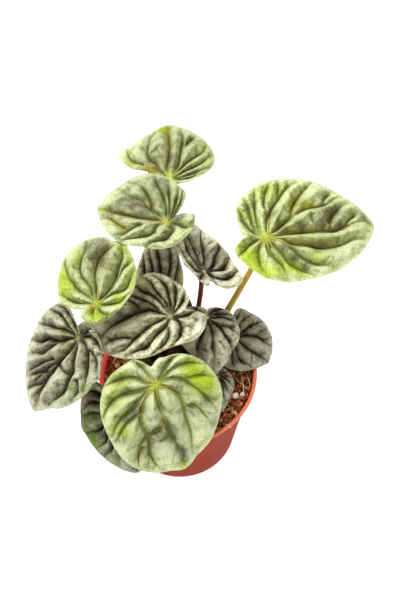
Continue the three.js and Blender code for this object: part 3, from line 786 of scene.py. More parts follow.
class Leaf:
    """The shape of one leaf, in its own plane: x ahead to the tip and y to its left."""

    def __init__(self, name):
        self.name = name
        self.facts = LEAVES[name]
        k = self.facts
        heading, pitch, roll = (math.radians(k[a]) for a in ("heading", "pitch", "roll"))
        self.along = Vector(
            (
                math.cos(pitch) * math.cos(heading),
                math.cos(pitch) * math.sin(heading),
                math.sin(pitch),
            )
        )
        level = Vector((-math.sin(heading), math.cos(heading), 0))
        upright = self.along.cross(level)
        self.across = level * math.cos(roll) + upright * math.sin(roll)
        self.normal = self.along.cross(self.across)
        back = (k["left"][4] + k["right"][4]) / 2
        self.ring = np.array([k["length"], *k["left"], back, *k["right"][::-1]], float)
        self.half_width = (k["left"][2] + k["right"][2]) / 2
        self.seed = 7 + 13 * list(LEAVES).index(name)
        self.size = math.sqrt(k["length"] / 50)
        self.look = LIGHT_LOOK if name in LIGHT_LEAVES else DARK_LOOK
        self.swell = PILLOW * k.get("soft", 1)
        self.veins = self.draw_veins()

    def apart(self, degrees, other):
        return np.abs((degrees - other + 180) % 360 - 180)

    def radius(self, degrees):
        k = self.facts
        full = ring_value(self.ring, (degrees % 360) / 30)
        open_share = smooth_step(self.apart(degrees, k["notch_at"]), 0, NOTCH_SPREAD)
        reach = k["notch"] + (full - k["notch"]) * open_share
        for at, width, rise in (*k.get("bumps", ()), (0, 6, POINT)):
            reach = reach + rise * np.exp(-((self.apart(degrees, at) / width) ** 2))
        return reach

    def height(self, x, y):
        k = self.facts
        length = k["length"]
        side = y / self.half_width
        ahead = np.maximum(x, 0) / length
        behind = np.maximum(-x, 0) / length
        dip = FUNNEL * length * (1 - np.exp(-(x * x + y * y) / (0.16 * length) ** 2))
        lobe = 2 * k.get("lobe", 0) * behind * np.maximum(side, 0)
        return dip + lobe - k["droop"] * ahead**2 - k["camber"] * side**2

    def draw_veins(self):
        """The veins as curves in the leaf's plane, each with its kind."""
        drawn = self.facts.get("veins")
        if not drawn:
            veins = [("main", curve) for curve in self.fan()]
        else:
            veins = []
            for v in drawn:
                curve = spline(list(zip(v[::2], v[1::2])), SMOOTH_STEPS)
                kind = "main" if np.hypot(*curve[0]) < BRANCH_START else "branch"
                if np.hypot(*(curve[-1] - curve[0])) < SHORT_BRANCH:
                    kind = "short" if kind == "branch" else kind
                else:
                    curve = self.grown(curve)
                veins.append((kind, curve))
        return veins + [("side", curve) for curve in self.side_veins(veins)]

    def fan(self):
        """Main veins that fan out from the hub, for a leaf that is mostly hidden."""
        rng = random.Random(self.seed)
        reach = np.linspace(0, VEIN_REACH, 24)
        lines = [(0.0, 0.0)]
        for start, end in VEIN_FAN:
            for side in (1, -1):
                stray = rng.uniform(-5, 5)
                lines.append((side * (start + stray), side * (end + stray)))
        for start, end in lines:
            turn = end + (start - end) * (1 - reach / VEIN_REACH) ** VEIN_BEND
            wave = 2.5 * np.sin(reach * 9 + rng.uniform(0, 6)) * reach
            r = self.radius(turn + wave) * reach
            a = np.radians(turn + wave)
            yield np.stack([r * np.cos(a), r * np.sin(a)], 1)

    def share(self, x, y):
        """How far out a point is, from 0 at the hub to 1 at the margin."""
        return np.hypot(x, y) / self.radius(np.degrees(np.arctan2(y, x)))

    def grown(self, curve):
        """A vein carried on to the margin."""
        points = list(curve)
        ahead = curve[-1] - curve[-3]
        while self.share(*points[-1]) < VEIN_REACH and len(points) < 90:
            ahead = ahead / np.hypot(*ahead)
            out = points[-1] / np.hypot(*points[-1])
            ahead = ahead + 0.35 * out
            points.append(points[-1] + 1.6 * ahead / np.hypot(*ahead))
        return np.array(points)

    def side_veins(self, veins):
        """Short veins that leave the others by turns, and stop short of the next one."""
        rng = random.Random(self.seed + 5)
        taken = np.vstack([curve for _, curve in veins])
        made = []
        for _, curve in veins:
            run = np.concatenate([[0], np.cumsum(np.hypot(*np.diff(curve, axis=0).T))])
            at = rng.uniform(7, 11) * self.size
            side = rng.choice((1, -1))
            while at < run[-1] - 3 * self.size:
                place, later = (
                    np.array([np.interp(where, run, curve[:, k]) for k in (0, 1)])
                    for where in (at, at + 0.5)
                )
                ahead = math.atan2(*(later - place)[::-1])
                turn = side * math.radians(rng.uniform(42, 64))
                path = [place]
                for step in range(int(rng.uniform(8, 14) * self.size)):
                    way = ahead + turn
                    path.append(path[-1] + np.array([math.cos(way), math.sin(way)]))
                    turn *= 0.94
                    gap = np.hypot(*(taken - path[-1]).T).min()
                    if self.share(*path[-1]) > 0.96 or (step > 3 and gap < 1.3 * self.size):
                        break
                if len(path) > 4:
                    made.append(np.array(path))
                    taken = np.vstack([taken, path[3:]])
                side = -side
                at += rng.uniform(3.5, 6.5) * self.size
        return made

    def near_veins(self, x, y):
        """For each vein: its kind, the points near it, how far they are from it, and
        how strong it is there."""
        for kind, curve in self.veins:
            low, high = curve.min(0) - NEAR, curve.max(0) + NEAR
            close = np.flatnonzero(
                (x > low[0]) & (x < high[0]) & (y > low[1]) & (y < high[1])
            )
            if not len(close):
                continue
            px, py = x[close], y[close]
            nearest = np.full(px.shape, 1e9)
            along = np.zeros(px.shape)
            for i, ((ax, ay), (bx, by)) in enumerate(zip(curve[:-1], curve[1:])):
                dx, dy = bx - ax, by - ay
                share = ((px - ax) * dx + (py - ay) * dy) / (dx * dx + dy * dy + 1e-9)
                share = np.clip(share, 0, 1)
                gap = (px - ax - share * dx) ** 2 + (py - ay - share * dy) ** 2
                closer = gap < nearest
                nearest[closer] = gap[closer]
                along[closer] = (i + share[closer]) / (len(curve) - 1)
            strength = 1 - FADE[kind] * smooth_step(along, 0.6, 1)
            if kind != "main":
                strength = strength * smooth_step(along, -0.02, 0.15)
            yield kind, close, np.sqrt(nearest), strength

    def world(self, x, y, z):
        """The leaf's own x, y and z in millimetres, as places in metres."""
        places = np.array(self.facts["hub"], float) + (
            np.multiply.outer(x, np.array(self.along))
            + np.multiply.outer(y, np.array(self.across))
            + np.multiply.outer(z, np.array(self.normal))
        )
        return places * MM


def mesh_points(mesh):
    places = np.zeros(len(mesh.vertices) * 3)
    mesh.vertices.foreach_get("co", places)
    return places.reshape(-1, 3)


def set_points(mesh, places):
    mesh.vertices.foreach_set("co", np.ascontiguousarray(places, float).ravel())
    mesh.update()


def mesh_normals(mesh):
    normals = np.zeros(len(mesh.vertices) * 3)
    mesh.vertex_normals.foreach_get("vector", normals)
    return normals.reshape(-1, 3)


def set_mark(mesh, name, values):
    mark = mesh.attributes.new(name, "FLOAT", "POINT")
    mark.data.foreach_set("value", np.asarray(values, np.float32))


def to_mesh(bm, name):
    """The shape as a mesh; the shape itself is given up."""
    mesh = bpy.data.meshes.new(name)
    bm.to_mesh(mesh)
    bm.free()
    return mesh


def pour(part, bm):
    """Adds a small shape to a big one; the small one is given up."""
    mesh = to_mesh(part, "part")
    bm.from_mesh(mesh)
    bpy.data.meshes.remove(mesh)


def spin_round(bm, steps):
    """Turns an open profile into a round shape about the upright axis."""
    bmesh.ops.spin(
        bm, geom=[*bm.verts, *bm.edges], cent=(0, 0, 0), axis=(0, 0, 1),
        angle=2 * math.pi, steps=steps, use_merge=True,
    )


def profile_chain(bm, profile):
    """The points of a profile of radii and heights in millimetres, joined by edges."""
    chain = [bm.verts.new((r * MM, 0, z * MM)) for r, z in profile]
    for pair in zip(chain[:-1], chain[1:]):
        bm.edges.new(pair)
    return chain


def finish_piece(name, mesh, node, materials):
    """Links a finished mesh as a piece that stands for its node in the frame."""
    piece = bpy.data.objects.new(name, mesh)
    bpy.context.scene.collection.objects.link(piece)
    for material in materials:
        mesh.materials.append(material)
    for polygon in mesh.polygons:
        polygon.use_smooth = True
    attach(piece, "root")
    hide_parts(node)
    return piece


def leaf_disc(rings, spokes):
    """A flat round blade of radius 1: one radial line spun round the hub."""
    bm = bmesh.new()
    hub = bm.verts.new((0, 0, 0))
    margin = bm.verts.new((1, 0, 0))
    line = bm.edges.new((hub, margin))
    bmesh.ops.subdivide_edges(bm, edges=[line], cuts=rings - 1)
    spin_round(bm, spokes)
    middle = [v for v in bm.verts if v.co.length < 0.5 / rings]
    bmesh.ops.remove_doubles(bm, verts=middle, dist=1e-5)
    bmesh.ops.recalc_face_normals(bm, faces=bm.faces)
    if sum(face.normal.z for face in bm.faces) < 0:
        bmesh.ops.reverse_faces(bm, faces=bm.faces)
    return to_mesh(bm, "blade")


def ripple(x, y, size, seed):
    """Soft uneven bumps about size millimetres across, from -1 to 1."""
    rng = np.random.default_rng(seed)
    total = np.zeros(x.shape)
    for _ in range(10):
        a = rng.uniform(0, 2 * math.pi)
        k = 2 * math.pi / (size * rng.uniform(0.8, 1.8))
        total += np.sin((x * math.cos(a) + y * math.sin(a)) * k + rng.uniform(0, 6.28))
    return total / 4.5


class Blade:
    """The relief of a leaf at some of its points, and what its finish reads there."""

    def __init__(self, leaf, x, y):
        size, look = leaf.size, leaf.look
        self.leaf, self.x, self.y = leaf, x, y
        self.r = np.hypot(x, y)
        self.share = leaf.share(x, y)
        calm = smooth_step(self.r, 0.5, 8 * size)
        stray = 1 + 0.4 * ripple(x, y, 9 * size, leaf.seed + 3)
        sharp, broad, dark, crease = (np.zeros(x.shape) for _ in range(4))

        def deepen(kept, close, values):
            kept[close] = np.maximum(kept[close], values)

        for kind, close, gap, strength in leaf.near_veins(x, y):
            gap = gap / size
            deep, dip = strength * CREASE[kind], strength**0.5 * DIP[kind]
            deepen(sharp, close, deep * np.exp(-((gap / 1.5) ** 1.1)))
            deepen(broad, close, dip * np.exp(-((gap / (4.8 * SPAN[kind])) ** 1.3)))
            deepen(dark, close, deep * np.exp(-((gap / (1.7 * stray[close])) ** 1.3)))
            deepen(crease, close, deep * np.exp(-((gap / look["line"]) ** 2)))
        self.rise = 1 - look["drop"] * sharp - 0.7 * broad
        # The crests are paler than the creases: partly the leaf's own darker tissue along the
        # veins, partly painted shade in the valleys.
        self.crest = 1 - look["dark"] * dark - look["broad"] * broad
        self.crease = crease * (0.2 + 0.8 * calm)
        flat_rim = 1 - 0.7 * smooth_step(self.share, 0.86, 1.0)
        lumps = 1 + 0.35 * ripple(x, y, 11 * size, leaf.seed)
        fold = ripple(x, y, 5 * size, leaf.seed + 1) * 0.36
        fold = fold + ripple(x, y, 2.6 * size, leaf.seed + 4) * 0.15
        wave = ripple(x, y, 22 * size, leaf.seed + 2) * 0.7 * size
        self.height = (
            leaf.height(x, y)
            + (self.rise - 0.45) * leaf.swell * size * calm * flat_rim * lumps
            + fold * size * calm * self.rise * flat_rim
            + wave * smooth_step(self.share, 0.5, 1)
        )
        self.hub = 0.9 * np.exp(-((self.r / (look["hub"] * size)) ** 2))

    def patches(self, kind):
        """Where the blade has patches of a kind, each a place, a spread and a strength."""
        total = np.zeros(self.x.shape)
        for px, py, spread, strength in self.leaf.facts.get(kind, ()):
            away = (self.x - px) ** 2 + (self.y - py) ** 2
            total += strength * np.exp(-away / spread**2)
        return np.clip(total, 0, 1)

    def places(self, lift=0.0):
        return self.leaf.world(self.x, self.y, self.height + lift)


def vein_cords(leaf):
    """The veins themselves: thin raised cords, which taper out into the blade."""
    bm = bmesh.new()
    bm.verts.layers.float.new("along")
    for kind, curve in leaf.veins:
        if kind == "side":
            continue
        blade = Blade(leaf, curve[:, 0], curve[:, 1])
        along = np.linspace(0, 1, len(curve))
        lift = leaf.look["lift"] - 1.2 * smooth_step(along, 0.7, 1)
        path = [Vector(place) for place in blade.places(lift * leaf.size)]
        fade = leaf.facts.get("fade", 1)
        widths = CORD[kind] * (1 - 0.45 * along) * (0.6 + 0.4 * smooth_step(blade.r, 0, 5))
        widths = widths / math.sqrt(fade)
        reach = blade.share * fade
        bent_tube(
            bm, path, widths * leaf.size * MM, 5, "along",
            lambda t: float(np.interp(t, along, reach)),
        )
    return to_mesh(bm, "cords")


def shell(flat):
    """A flat mesh given a leaf's thickness, with its underside in the second finish."""
    piece = bpy.data.objects.new("shell", flat)
    bpy.context.scene.collection.objects.link(piece)
    thick = piece.modifiers.new("blade", "SOLIDIFY")
    thick.thickness = BLADE * MM
    thick.offset = 0
    thick.use_even_offset = False
    thick.material_offset = 1
    thick.material_offset_rim = 0
    solid = bpy.data.meshes.new_from_object(
        piece.evaluated_get(bpy.context.evaluated_depsgraph_get())
    )
    bpy.data.objects.remove(piece)
    return solid


# The flat discs that blades are shaped from, by the least length of leaf that needs them.
DISCS = {50: leaf_disc(96, 360), 30: leaf_disc(76, 288), 0: leaf_disc(48, 180)}


def build_leaf(name, materials):
    """A blade with its relief and cords, in an upper, a lower and a cord finish."""
    leaf = Leaf(name)
    k = leaf.facts
    flat = next(disc for least, disc in DISCS.items() if k["length"] > least).copy()
    for material in materials:
        flat.materials.append(material)
    round_places = mesh_points(flat)
    degrees = np.degrees(np.arctan2(round_places[:, 1], round_places[:, 0]))
    reach = leaf.radius(degrees)
    x, y = round_places[:, 0] * reach, round_places[:, 1] * reach
    blade = Blade(leaf, x, y)
    set_points(flat, leaf.world(x, y, leaf.height(x, y)))
    level = mesh_normals(flat)
    set_points(flat, blade.places())
    slope = mesh_normals(flat) - level

    tone, lean = k.get("tone", (1, 0))
    # Painted light and shade: the slope of the relief against the light's way, kept as a mark.
    facing = k.get("crisp", 1) * slope @ np.array(PAINTED_LIGHT_WAY)
    marks = {
        "swell": blade.crest,
        "groove": blade.crease,
        "sunny": np.clip(0.5 + 0.75 * facing, 0, 1),
        "hub": blade.hub,
        "edge": smooth_step(blade.share, 0.955, 1.0),
        "tone": tone + lean * np.clip(y / leaf.half_width, -1, 1),
        "lime": blade.patches("lime"),
        "ochre": blade.patches("ochre"),
        "dusk": blade.patches("dusk"),
    }
    for mark, values in marks.items():
        set_mark(flat, mark, values)
    turn = np.radians(degrees)
    ray = np.stack([30 * np.cos(turn), 30 * np.sin(turn), blade.r / 4], 1) * MM
    streaks = flat.attributes.new("ray", "FLOAT_VECTOR", "POINT")
    streaks.data.foreach_set("vector", ray.astype(np.float32).ravel())

    solid = shell(flat)
    cords = vein_cords(leaf)
    for polygon in cords.polygons:
        polygon.material_index = 2
    bm = bmesh.new()
    bm.from_mesh(solid)
    bm.from_mesh(cords)
    mesh = to_mesh(bm, "leaf_" + name)
    return finish_piece("leaf_blade_" + name, mesh, "leaf_" + name, materials)


# ---------------------------------------------------------------- stalks

STALK_STEPS = 56
STALK_SIDES = 20


def bent_tube(bm, path, widths, sides, marks, mark_of):
    """A round tube with closed ends, bent along the path and added to the mesh."""
    steps = len(path) - 1
    ahead = [
        (path[min(i + 1, steps)] - path[max(i - 1, 0)]).normalized() for i in range(steps + 1)
    ]
    side = ahead[0].orthogonal().normalized()
    frames = []
    for direction in ahead:
        side = (side - direction * side.dot(direction)).normalized()
        frames.append((side, direction.cross(side)))
    rod = bmesh.new()
    layer = rod.verts.layers.float.new(marks)
    bmesh.ops.create_cone(rod, cap_ends=True, segments=sides, radius1=1, radius2=1, depth=1)
    lengthwise = [e for e in rod.edges if abs(e.verts[0].co.z - e.verts[1].co.z) > 0.5]
    bmesh.ops.subdivide_edges(rod, edges=lengthwise, cuts=steps - 1)
    for v in rod.verts:
        i = round((v.co.z + 0.5) * steps)
        a, b = frames[i]
        v.co = path[i] + (a * v.co.x + b * v.co.y) * widths[i]
        v[layer] = mark_of(i / steps)
    bmesh.ops.recalc_face_normals(rod, faces=rod.faces)
    pour(rod, bm)


def stalk_path(leaf, steps):
    """The stalk's centreline from the crown into the underside of its leaf, in metres."""
    azimuth, climb = (math.radians(a) for a in leaf.facts["base"])
    out = Vector((math.cos(azimuth), math.sin(azimuth), 0))
    foot = out * CROWN_RADIUS * math.cos(climb)
    foot += Vector((0, 0, CROWN_FOOT + CROWN_HEIGHT * math.sin(climb)))
    leaving = out * math.cos(climb) * CROWN_HEIGHT
    leaving += Vector((0, 0, math.sin(climb) * CROWN_RADIUS))
    leaving.normalize()
    start = foot - 0.8 * leaving
    end = Vector(leaf.facts["hub"]) - leaf.normal * 0.1
    controls = [
        start, start + 7 * leaving, Vector(leaf.facts["via"]), end - 8 * leaf.normal, end,
    ]
    path = []
    for i in range(steps + 1):
        t = i / steps
        shares = [math.comb(4, n) * t**n * (1 - t) ** (4 - n) for n in range(5)]
        path.append(sum((c * s for c, s in zip(controls, shares)), Vector()) * MM)
    return path


def build_stalk(name, material):
    """A stalk that flares where it leaves the crown and where it meets the blade."""
    leaf = Leaf(name)
    path = stalk_path(leaf, STALK_STEPS)
    radius = leaf.facts["stalk"] * MM
    widths = []
    for i in range(STALK_STEPS + 1):
        t = i / STALK_STEPS
        flare = 1 + 0.35 * math.exp(-t * 14) + 0.25 * math.exp(-(1 - t) * 22)
        widths.append(radius * flare * (1 - 0.12 * t))
    bm = bmesh.new()
    bm.verts.layers.float.new("along")
    bent_tube(bm, path, widths, STALK_SIDES, "along", lambda t: t)
    mesh = to_mesh(bm, "stalk_" + name)
    return finish_piece("stalk_stem_" + name, mesh, "stalk_" + name, [material])


# ---------------------------------------------------------------- pot

POT_TURNS = 144
# Radius and height in millimetres, from the foot of the wall outside, over the lip and
# down the inside to the floor.
POT_OUTSIDE = (
    (38.5, 0), (39.1, 0.12), (39.55, 0.45), (39.9, 1.0), (40.1, 1.7), (44.0, 37),
    (48.05, 73.6), (48.6, 74.4), (49.1, 75.0), (49.45, 75.6), (49.65, 76.4), (51.2, 85.3),
    (51.35, 85.6), (51.8, 85.75), (52.25, 85.95), (52.5, 86.4), (52.5, 87.3), (52.3, 87.8),
    (51.9, 88), (51.0, 88), (50.6, 87.85), (50.35, 87.3), (48.75, 76.4), (48.3, 75.6),
    (47.3, 74.8), (43.15, 40), (39.4, 4.4), (39.0, 3.5), (38.4, 2.6), (37.6, 2.05), (37, 2),
)
LIP_RISE = (84.8, 85.9)  # where the wall's colour turns into the lip's painted highlight
DRAIN_RING = 24
DRAIN_RADIUS = 3.5
DRAIN_COUNT = 6
FLOOR_TOP = 2.0


def drain_rims(bm, height):
    """The rims of the drain holes at one height, as lists of edges."""
    rims = []
    for i in range(DRAIN_COUNT):
        a = math.radians(360 / DRAIN_COUNT * (i + 0.5))
        place = Vector((DRAIN_RING * math.cos(a), DRAIN_RING * math.sin(a), height)) * MM
        made = bmesh.ops.create_circle(
            bm, segments=24, radius=DRAIN_RADIUS * MM, matrix=Matrix.Translation(place)
        )["verts"]
        rims.append([e for e in bm.edges if e.verts[0] in made and e.verts[1] in made])
    return rims


def build_pot(material):
    """The pot: its wall spun round, and its floor filled in between the drain holes."""
    bm = bmesh.new()
    profile_chain(bm, POT_OUTSIDE)
    spin_round(bm, POT_TURNS)
    bmesh.ops.remove_doubles(bm, verts=bm.verts, dist=1e-6)
    open_edges = [e for e in bm.edges if e.is_boundary]
    low = [e for e in open_edges if e.verts[0].co.z < 1 * MM]
    high = [e for e in open_edges if e.verts[0].co.z > 1 * MM]
    under, over = drain_rims(bm, 0), drain_rims(bm, FLOOR_TOP)
    for rim, holes in ((low, under), (high, over)):
        loops = rim + [e for hole in holes for e in hole]
        bmesh.ops.triangle_fill(bm, edges=loops, use_beauty=True)
    for one, other in zip(under, over):
        bmesh.ops.bridge_loops(bm, edges=one + other)
    bmesh.ops.recalc_face_normals(bm, faces=bm.faces)
    mesh = to_mesh(bm, "pot")
    places = mesh_points(mesh) / MM
    r = np.hypot(places[:, 0], places[:, 1])
    z = places[:, 2]
    # The lip mark carries the lip's painted highlight and painted glow.
    lip = smooth_step(z, *LIP_RISE)
    set_mark(mesh, "lip", lip)
    set_mark(mesh, "collar", smooth_step(z, 82.0, 84.5) * (1 - lip))
    # The inside mark carries painted shade on the inner wall.
    inside = (r < 39.5 + z * 0.1093 + 0.35 * (z > 75)) & (z > 1) & (z < 87)
    set_mark(mesh, "inside", inside.astype(float))
    piece = finish_piece("pot_shell", mesh, "pot", [material])
    for polygon in mesh.polygons:
        polygon.use_smooth = abs(polygon.normal.z) < 0.999
    return piece


# ---------------------------------------------------------------- soil

SOIL_LEVEL = 82.5
SOIL_FOOT = 2.3
SOIL_FLAT = 14.0
SOIL_EDGE = 49.0
SOIL_REACH = 49.2  # crumbs are pressed back inside this radius, off the pot's wall
SOIL_PROFILE = (
    (0, SOIL_FOOT), (37.2, SOIL_FOOT), (38.9, 4.5), (43.0, 40), (46.7, 74.6), (48.2, 76.6),
    (SOIL_REACH, SOIL_LEVEL),
)
CHUNKS = 1500
CHUNK_SIZES = (0.6, 0.8, 1.1, 1.4, 1.9)
BATCH = 40  # so many chunks are made at a time, which is quicker
FIBRES = 190
FIBRE_STEPS = 8
# Long dry straws on top: where each starts and ends, and its radius.
STRAWS = (
    ((42, 1.4, 83.6), (43.6, -15, 83.9), 0.36), ((45.4, 1.4, 83.4), (47.9, -9, 84.2), 0.32),
    ((38, -4, 83.5), (46, -12, 84.4), 0.26), ((29.6, -36.5, 84), (34.3, -41.4, 88.5), 0.34),
    ((37, -29, 83.6), (38.4, -30.8, 84.2), 0.8), ((-44, 8, 83.8), (-40, 15, 84), 0.34),
)


def soil_height(x, y):
    """The soil's surface in millimetres."""
    r = np.hypot(x, y)
    rolling = np.sin(0.31 * x + 1) * np.cos(0.27 * y) + 0.5 * np.sin(0.13 * x - 0.52 * y)
    level = smooth_step(r, SOIL_FLAT, 22) * (1 - smooth_step(r, 42, SOIL_EDGE))
    return SOIL_LEVEL + 0.9 * rolling * level


def with_lump():
    """An empty shape and the mark that its points carry, from a dark gap to a pale crumb."""
    bm = bmesh.new()
    return bm, bm.verts.layers.float.new("lump")


def soil_bed():
    """The bed that fills the pot, with an uneven, crumbly top."""
    bm, lump = with_lump()
    chain = profile_chain(bm, SOIL_PROFILE)
    centre = bm.verts.new((0, 0, SOIL_LEVEL * MM))
    top = bm.edges.new((chain[-1], centre))
    bmesh.ops.subdivide_edges(bm, edges=[top], cuts=50)
    spin_round(bm, 180)
    bmesh.ops.remove_doubles(bm, verts=bm.verts, dist=1e-6)
    bmesh.ops.recalc_face_normals(bm, faces=bm.faces)
    for v in bm.verts:
        if v.co.z > (SOIL_LEVEL - 0.1) * MM:
            x, y = v.co.x / MM, v.co.y / MM
            crumb = noise.noise(v.co * 320) * 0.9 + noise.noise(v.co * 900) * 0.45
            rim = 1 - smooth_step(np.hypot(x, y), 47.5, 49.1)
            v.co.z = (float(soil_height(x, y)) - 0.9 + crumb * rim) * MM
            v[lump] = 0.18 + 0.3 * max(0.0, crumb)
    return bm


def in_disc(rng, radius):
    """A chance place on the soil, within the radius of its middle."""
    r = radius * math.sqrt(rng.random())
    a = rng.uniform(0, 2 * math.pi)
    return r * math.cos(a), r * math.sin(a)


def any_way(rng):
    return Vector((rng.uniform(-1, 1), rng.uniform(-1, 1), rng.uniform(-1, 1)))


def add_chunk(part, lump, rng):
    """One crumb of bark: a dented, stretched ball, half sunk into the bed."""
    x, y, size = *in_disc(rng, 48.2), rng.choice(CHUNK_SIZES)
    turn = Matrix.Rotation(rng.uniform(0, 6.28), 4, any_way(rng).normalized())
    stretch = Matrix.Diagonal(
        (rng.uniform(0.8, 2.0), rng.uniform(0.6, 1.1), rng.uniform(0.3, 0.8), 1)
    )
    height = float(soil_height(x, y)) - 0.55 + size * rng.uniform(0.0, 0.55)
    place = Matrix.Translation(Vector((x, y, height)) * MM)
    made = bmesh.ops.create_icosphere(
        part, subdivisions=1, radius=size * MM, matrix=place @ turn @ stretch
    )["verts"]
    # Painted light: chunks left of x = -24 mm are given paler shades, to lift the shade the
    # leaves cast there.
    shade = rng.random() ** (1.6 if x > -24 else 0.7)
    for v in made:
        v.co += any_way(rng) * size * 0.22 * MM
        v[lump] = 0.15 + 0.75 * shade + rng.uniform(-0.06, 0.06)
        if math.hypot(v.co.x, v.co.y) > SOIL_REACH * MM:
            squeeze = SOIL_REACH * MM / math.hypot(v.co.x, v.co.y)
            v.co.x *= squeeze
            v.co.y *= squeeze


def add_fibre(part, rng):
    """One coir fibre that wanders over the top and dips into it at both ends."""
    x, y = in_disc(rng, 46)
    heading = rng.uniform(0, 6.28)
    length = rng.uniform(4, 13)
    bend = rng.uniform(-1.6, 1.6)
    path = []
    for i in range(FIBRE_STEPS + 1):
        arch = 0.9 * math.sin(math.pi * i / FIBRE_STEPS) * rng.uniform(0.5, 1)
        path.append(Vector((x, y, float(soil_height(x, y)) + 0.35 + arch)) * MM)
        heading += bend / FIBRE_STEPS + rng.uniform(-0.15, 0.15)
        x += math.cos(heading) * length / FIBRE_STEPS
        y += math.sin(heading) * length / FIBRE_STEPS
        if math.hypot(x, y) > 48.5:
            x, y = x * 48.5 / math.hypot(x, y), y * 48.5 / math.hypot(x, y)
            heading += 0.8
    width = rng.uniform(0.14, 0.34) * MM
    widths = [width * (0.6 + 0.4 * math.sin(math.pi * i / FIBRE_STEPS)) for i in range(len(path))]
    shade = rng.uniform(0.7, 1.3)
    bent_tube(part, path, widths, 5, "lump", lambda t: shade)


def add_straw(part, start, end, width):
    """One long dry straw, slightly arched."""
    start, end = Vector(start), Vector(end)
    path = [start.lerp(end, i / FIBRE_STEPS) * MM for i in range(FIBRE_STEPS + 1)]
    for i, place in enumerate(path):
        place.z += 0.8 * math.sin(math.pi * i / FIBRE_STEPS) * MM
    bent_tube(part, path, [width * MM] * len(path), 6, "lump", lambda t: 1.3)


def build_soil(material):
    """A bed of compost, covered with bark crumbs and coir fibres."""
    bm = soil_bed()
    rng = random.Random(41)
    part, lump = with_lump()
    for count in range(CHUNKS):
        if count % BATCH == BATCH - 1:
            pour(part, bm)
            part, lump = with_lump()
        add_chunk(part, lump, rng)
    pour(part, bm)
    part, _ = with_lump()
    for _ in range(FIBRES):
        add_fibre(part, rng)
    for straw in STRAWS:
        add_straw(part, *straw)
    pour(part, bm)
    mesh = to_mesh(bm, "soil")
    places = mesh_points(mesh) / MM
    # Painted shade near the crown: a mark that is 1 within 27 mm of the middle and 0 beyond 37
    # mm.
    set_mark(mesh, "damp", 1 - smooth_step(np.hypot(places[:, 0], places[:, 1]), 27, 37))
    return finish_piece("soil_bed", mesh, "soil", [material])


PERLITE = (
    (37.8, -16.8, 2.1), (42.4, -15.7, 1.6), (24, -37, 1.2), (-41, 6, 1.5), (14, 39, 1.6),
)


def build_perlite(index, material):
    """One uneven grain, resting on the soil."""
    x, y, radius = PERLITE[index]
    bm = bmesh.new()
    place = Vector((x, y, float(soil_height(x, y)) + 0.8 * radius + 0.3))
    bmesh.ops.create_icosphere(
        bm, subdivisions=4, radius=radius * MM, matrix=Matrix.Translation(place * MM)
    )
    for v in bm.verts:
        lump = noise.noise(v.co * 700) * 0.28 + noise.noise(v.co * 2200) * 0.08
        v.co += (v.co - place * MM) * lump
    mesh = to_mesh(bm, "perlite")
    node = "perlite_%d" % (index + 1)
    return finish_piece("perlite_grain_%d" % (index + 1), mesh, node, [material])


def build_crown(material):
    """A knobbly mound, ringed by the scars of old stalks."""
    bm = bmesh.new()
    bmesh.ops.create_icosphere(bm, subdivisions=5, radius=1)
    bmesh.ops.bisect_plane(
        bm, geom=[*bm.verts, *bm.edges, *bm.faces], plane_co=(0, 0, -0.02),
        plane_no=(0, 0, -1), clear_outer=True,
    )
    bmesh.ops.holes_fill(bm, edges=[e for e in bm.edges if e.is_boundary])
    for v in bm.verts:
        knob = 1 + 0.10 * noise.noise(v.co * 3.5) + 0.05 * noise.noise(v.co * 9)
        ring = 1 + 0.03 * math.sin(v.co.z * 26)
        v.co = Vector((
            v.co.x * CROWN_RADIUS * knob * ring,
            v.co.y * CROWN_RADIUS * knob * ring,
            CROWN_FOOT - 0.6 + max(v.co.z, -0.02) * CROWN_HEIGHT * knob,
        )) * MM
    bmesh.ops.recalc_face_normals(bm, faces=bm.faces)
    mesh = to_mesh(bm, "crown")
    return finish_piece("crown_mound", mesh, "crown", [material])


# ---------------------------------------------------------------- making

light_leaf = leaf_finish(
    "leaf_light_quilted",
    stops=[
        (0.05, tint(66, 68, 32)), (0.32, tint(124, 130, 70)), (0.6, tint(186, 196, 124)),
        (0.92, tint(224, 232, 182)),
    ],
    valley=tint(46, 50, 16), rim=tint(208, 220, 150), lime=tint(184, 206, 50),
    ochre=tint(160, 146, 18), dusk=tint(142, 138, 132), hub=tint(222, 222, 84),
    painted_shade=tint(104, 100, 54), sway=0.44, pepper=0.34,
)
dark_leaf = leaf_finish(
    "leaf_dark_quilted",
    stops=[
        (0.08, tint(38, 32, 24)), (0.34, tint(94, 86, 66)), (0.6, tint(166, 162, 132)),
        (0.92, tint(208, 210, 184)),
    ],
    valley=tint(22, 20, 14), rim=tint(186, 184, 140), lime=tint(130, 168, 24),
    ochre=tint(128, 134, 30), dusk=tint(150, 138, 126), hub=tint(214, 200, 142),
    painted_shade=tint(66, 56, 40), sway=0.28, pepper=0.34,
)
light_vein = vein_finish(
    "leaf_light_vein", tint(218, 222, 84), tint(186, 194, 84), tint(112, 116, 56)
)
dark_vein = vein_finish(
    "leaf_dark_vein", tint(120, 112, 64), tint(62, 58, 38), tint(58, 56, 38)
)
light_under = under_finish("leaf_light_underside", tint(160, 152, 70), tint(196, 190, 98))
dark_under = under_finish("leaf_dark_underside", tint(126, 126, 92), tint(150, 84, 70))
green_stalk = stalk_finish(
    "stalk_green_flesh", tint(176, 178, 52), tint(206, 150, 62), tint(196, 168, 60)
)
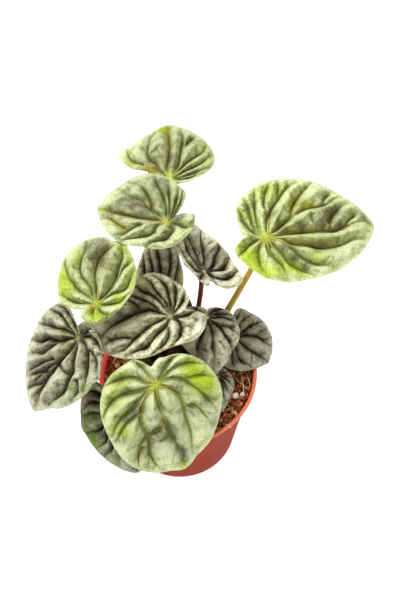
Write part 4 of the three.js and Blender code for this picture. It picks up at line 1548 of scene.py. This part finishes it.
red_stalk = stalk_finish(
    "stalk_red_flesh", tint(122, 46, 34), tint(108, 44, 34), tint(148, 84, 60)
)

build_pot(pot_finish())
build_soil(soil_finish())
build_crown(crown_finish())
grain_finish = perlite_finish()
for index in range(len(PERLITE)):
    build_perlite(index, grain_finish)
light_finishes = [light_leaf, light_under, light_vein]
dark_finishes = [dark_leaf, dark_under, dark_vein]
for name in LEAVES:
    build_leaf(name, light_finishes if name in LIGHT_LEAVES else dark_finishes)
    build_stalk(name, red_stalk if name in RED_STALKS else green_stalk)

# ---------------------------------------------------------------- stage and light


def studio_finish():
    f = Finish(
        "studio_floor", Roughness=0.9, Emission_Color=(1, 1, 1, 1), Emission_Strength=0.75
    )
    cloud = f.clouds(3, 2, 0.5)
    f.paint(Base_Color=f.mix(cloud, (0.93, 0.93, 0.93), (0.96, 0.96, 0.96)))
    return f.material


def build_studio():
    """A white floor under an even white sky, with a soft key light and a fill."""
    bm = bmesh.new()
    bmesh.ops.create_grid(bm, x_segments=1, y_segments=1, size=4)
    mesh = to_mesh(bm, "studio_floor")
    mesh.materials.append(studio_finish())
    floor = bpy.data.objects.new("studio_floor", mesh)
    bpy.context.scene.collection.objects.link(floor)

    world = bpy.data.worlds.new("studio")
    world.use_nodes = True
    sky = world.node_tree.nodes["Background"]
    sky.inputs["Color"].default_value = (1, 1, 1, 1)
    sky.inputs["Strength"].default_value = 0.36
    bpy.context.scene.world = world

    for name, place, size, power in (
        ("key", (-0.4, 0.3, 1.0), 0.5, 8.8),
        ("fill", (0.3, -0.8, 0.7), 0.9, 1.6),
    ):
        lamp = bpy.data.lights.new(name, "AREA")
        lamp.shape = "DISK"
        lamp.size = size
        lamp.energy = power
        light = bpy.data.objects.new(name, lamp)
        light.location = place
        aim = Vector((0, 0.02, 0.12)) - Vector(place)
        light.rotation_euler = aim.to_track_quat("-Z", "Y").to_euler()
        bpy.context.scene.collection.objects.link(light)


build_studio()
bpy.context.scene.view_settings.view_transform = "Standard"
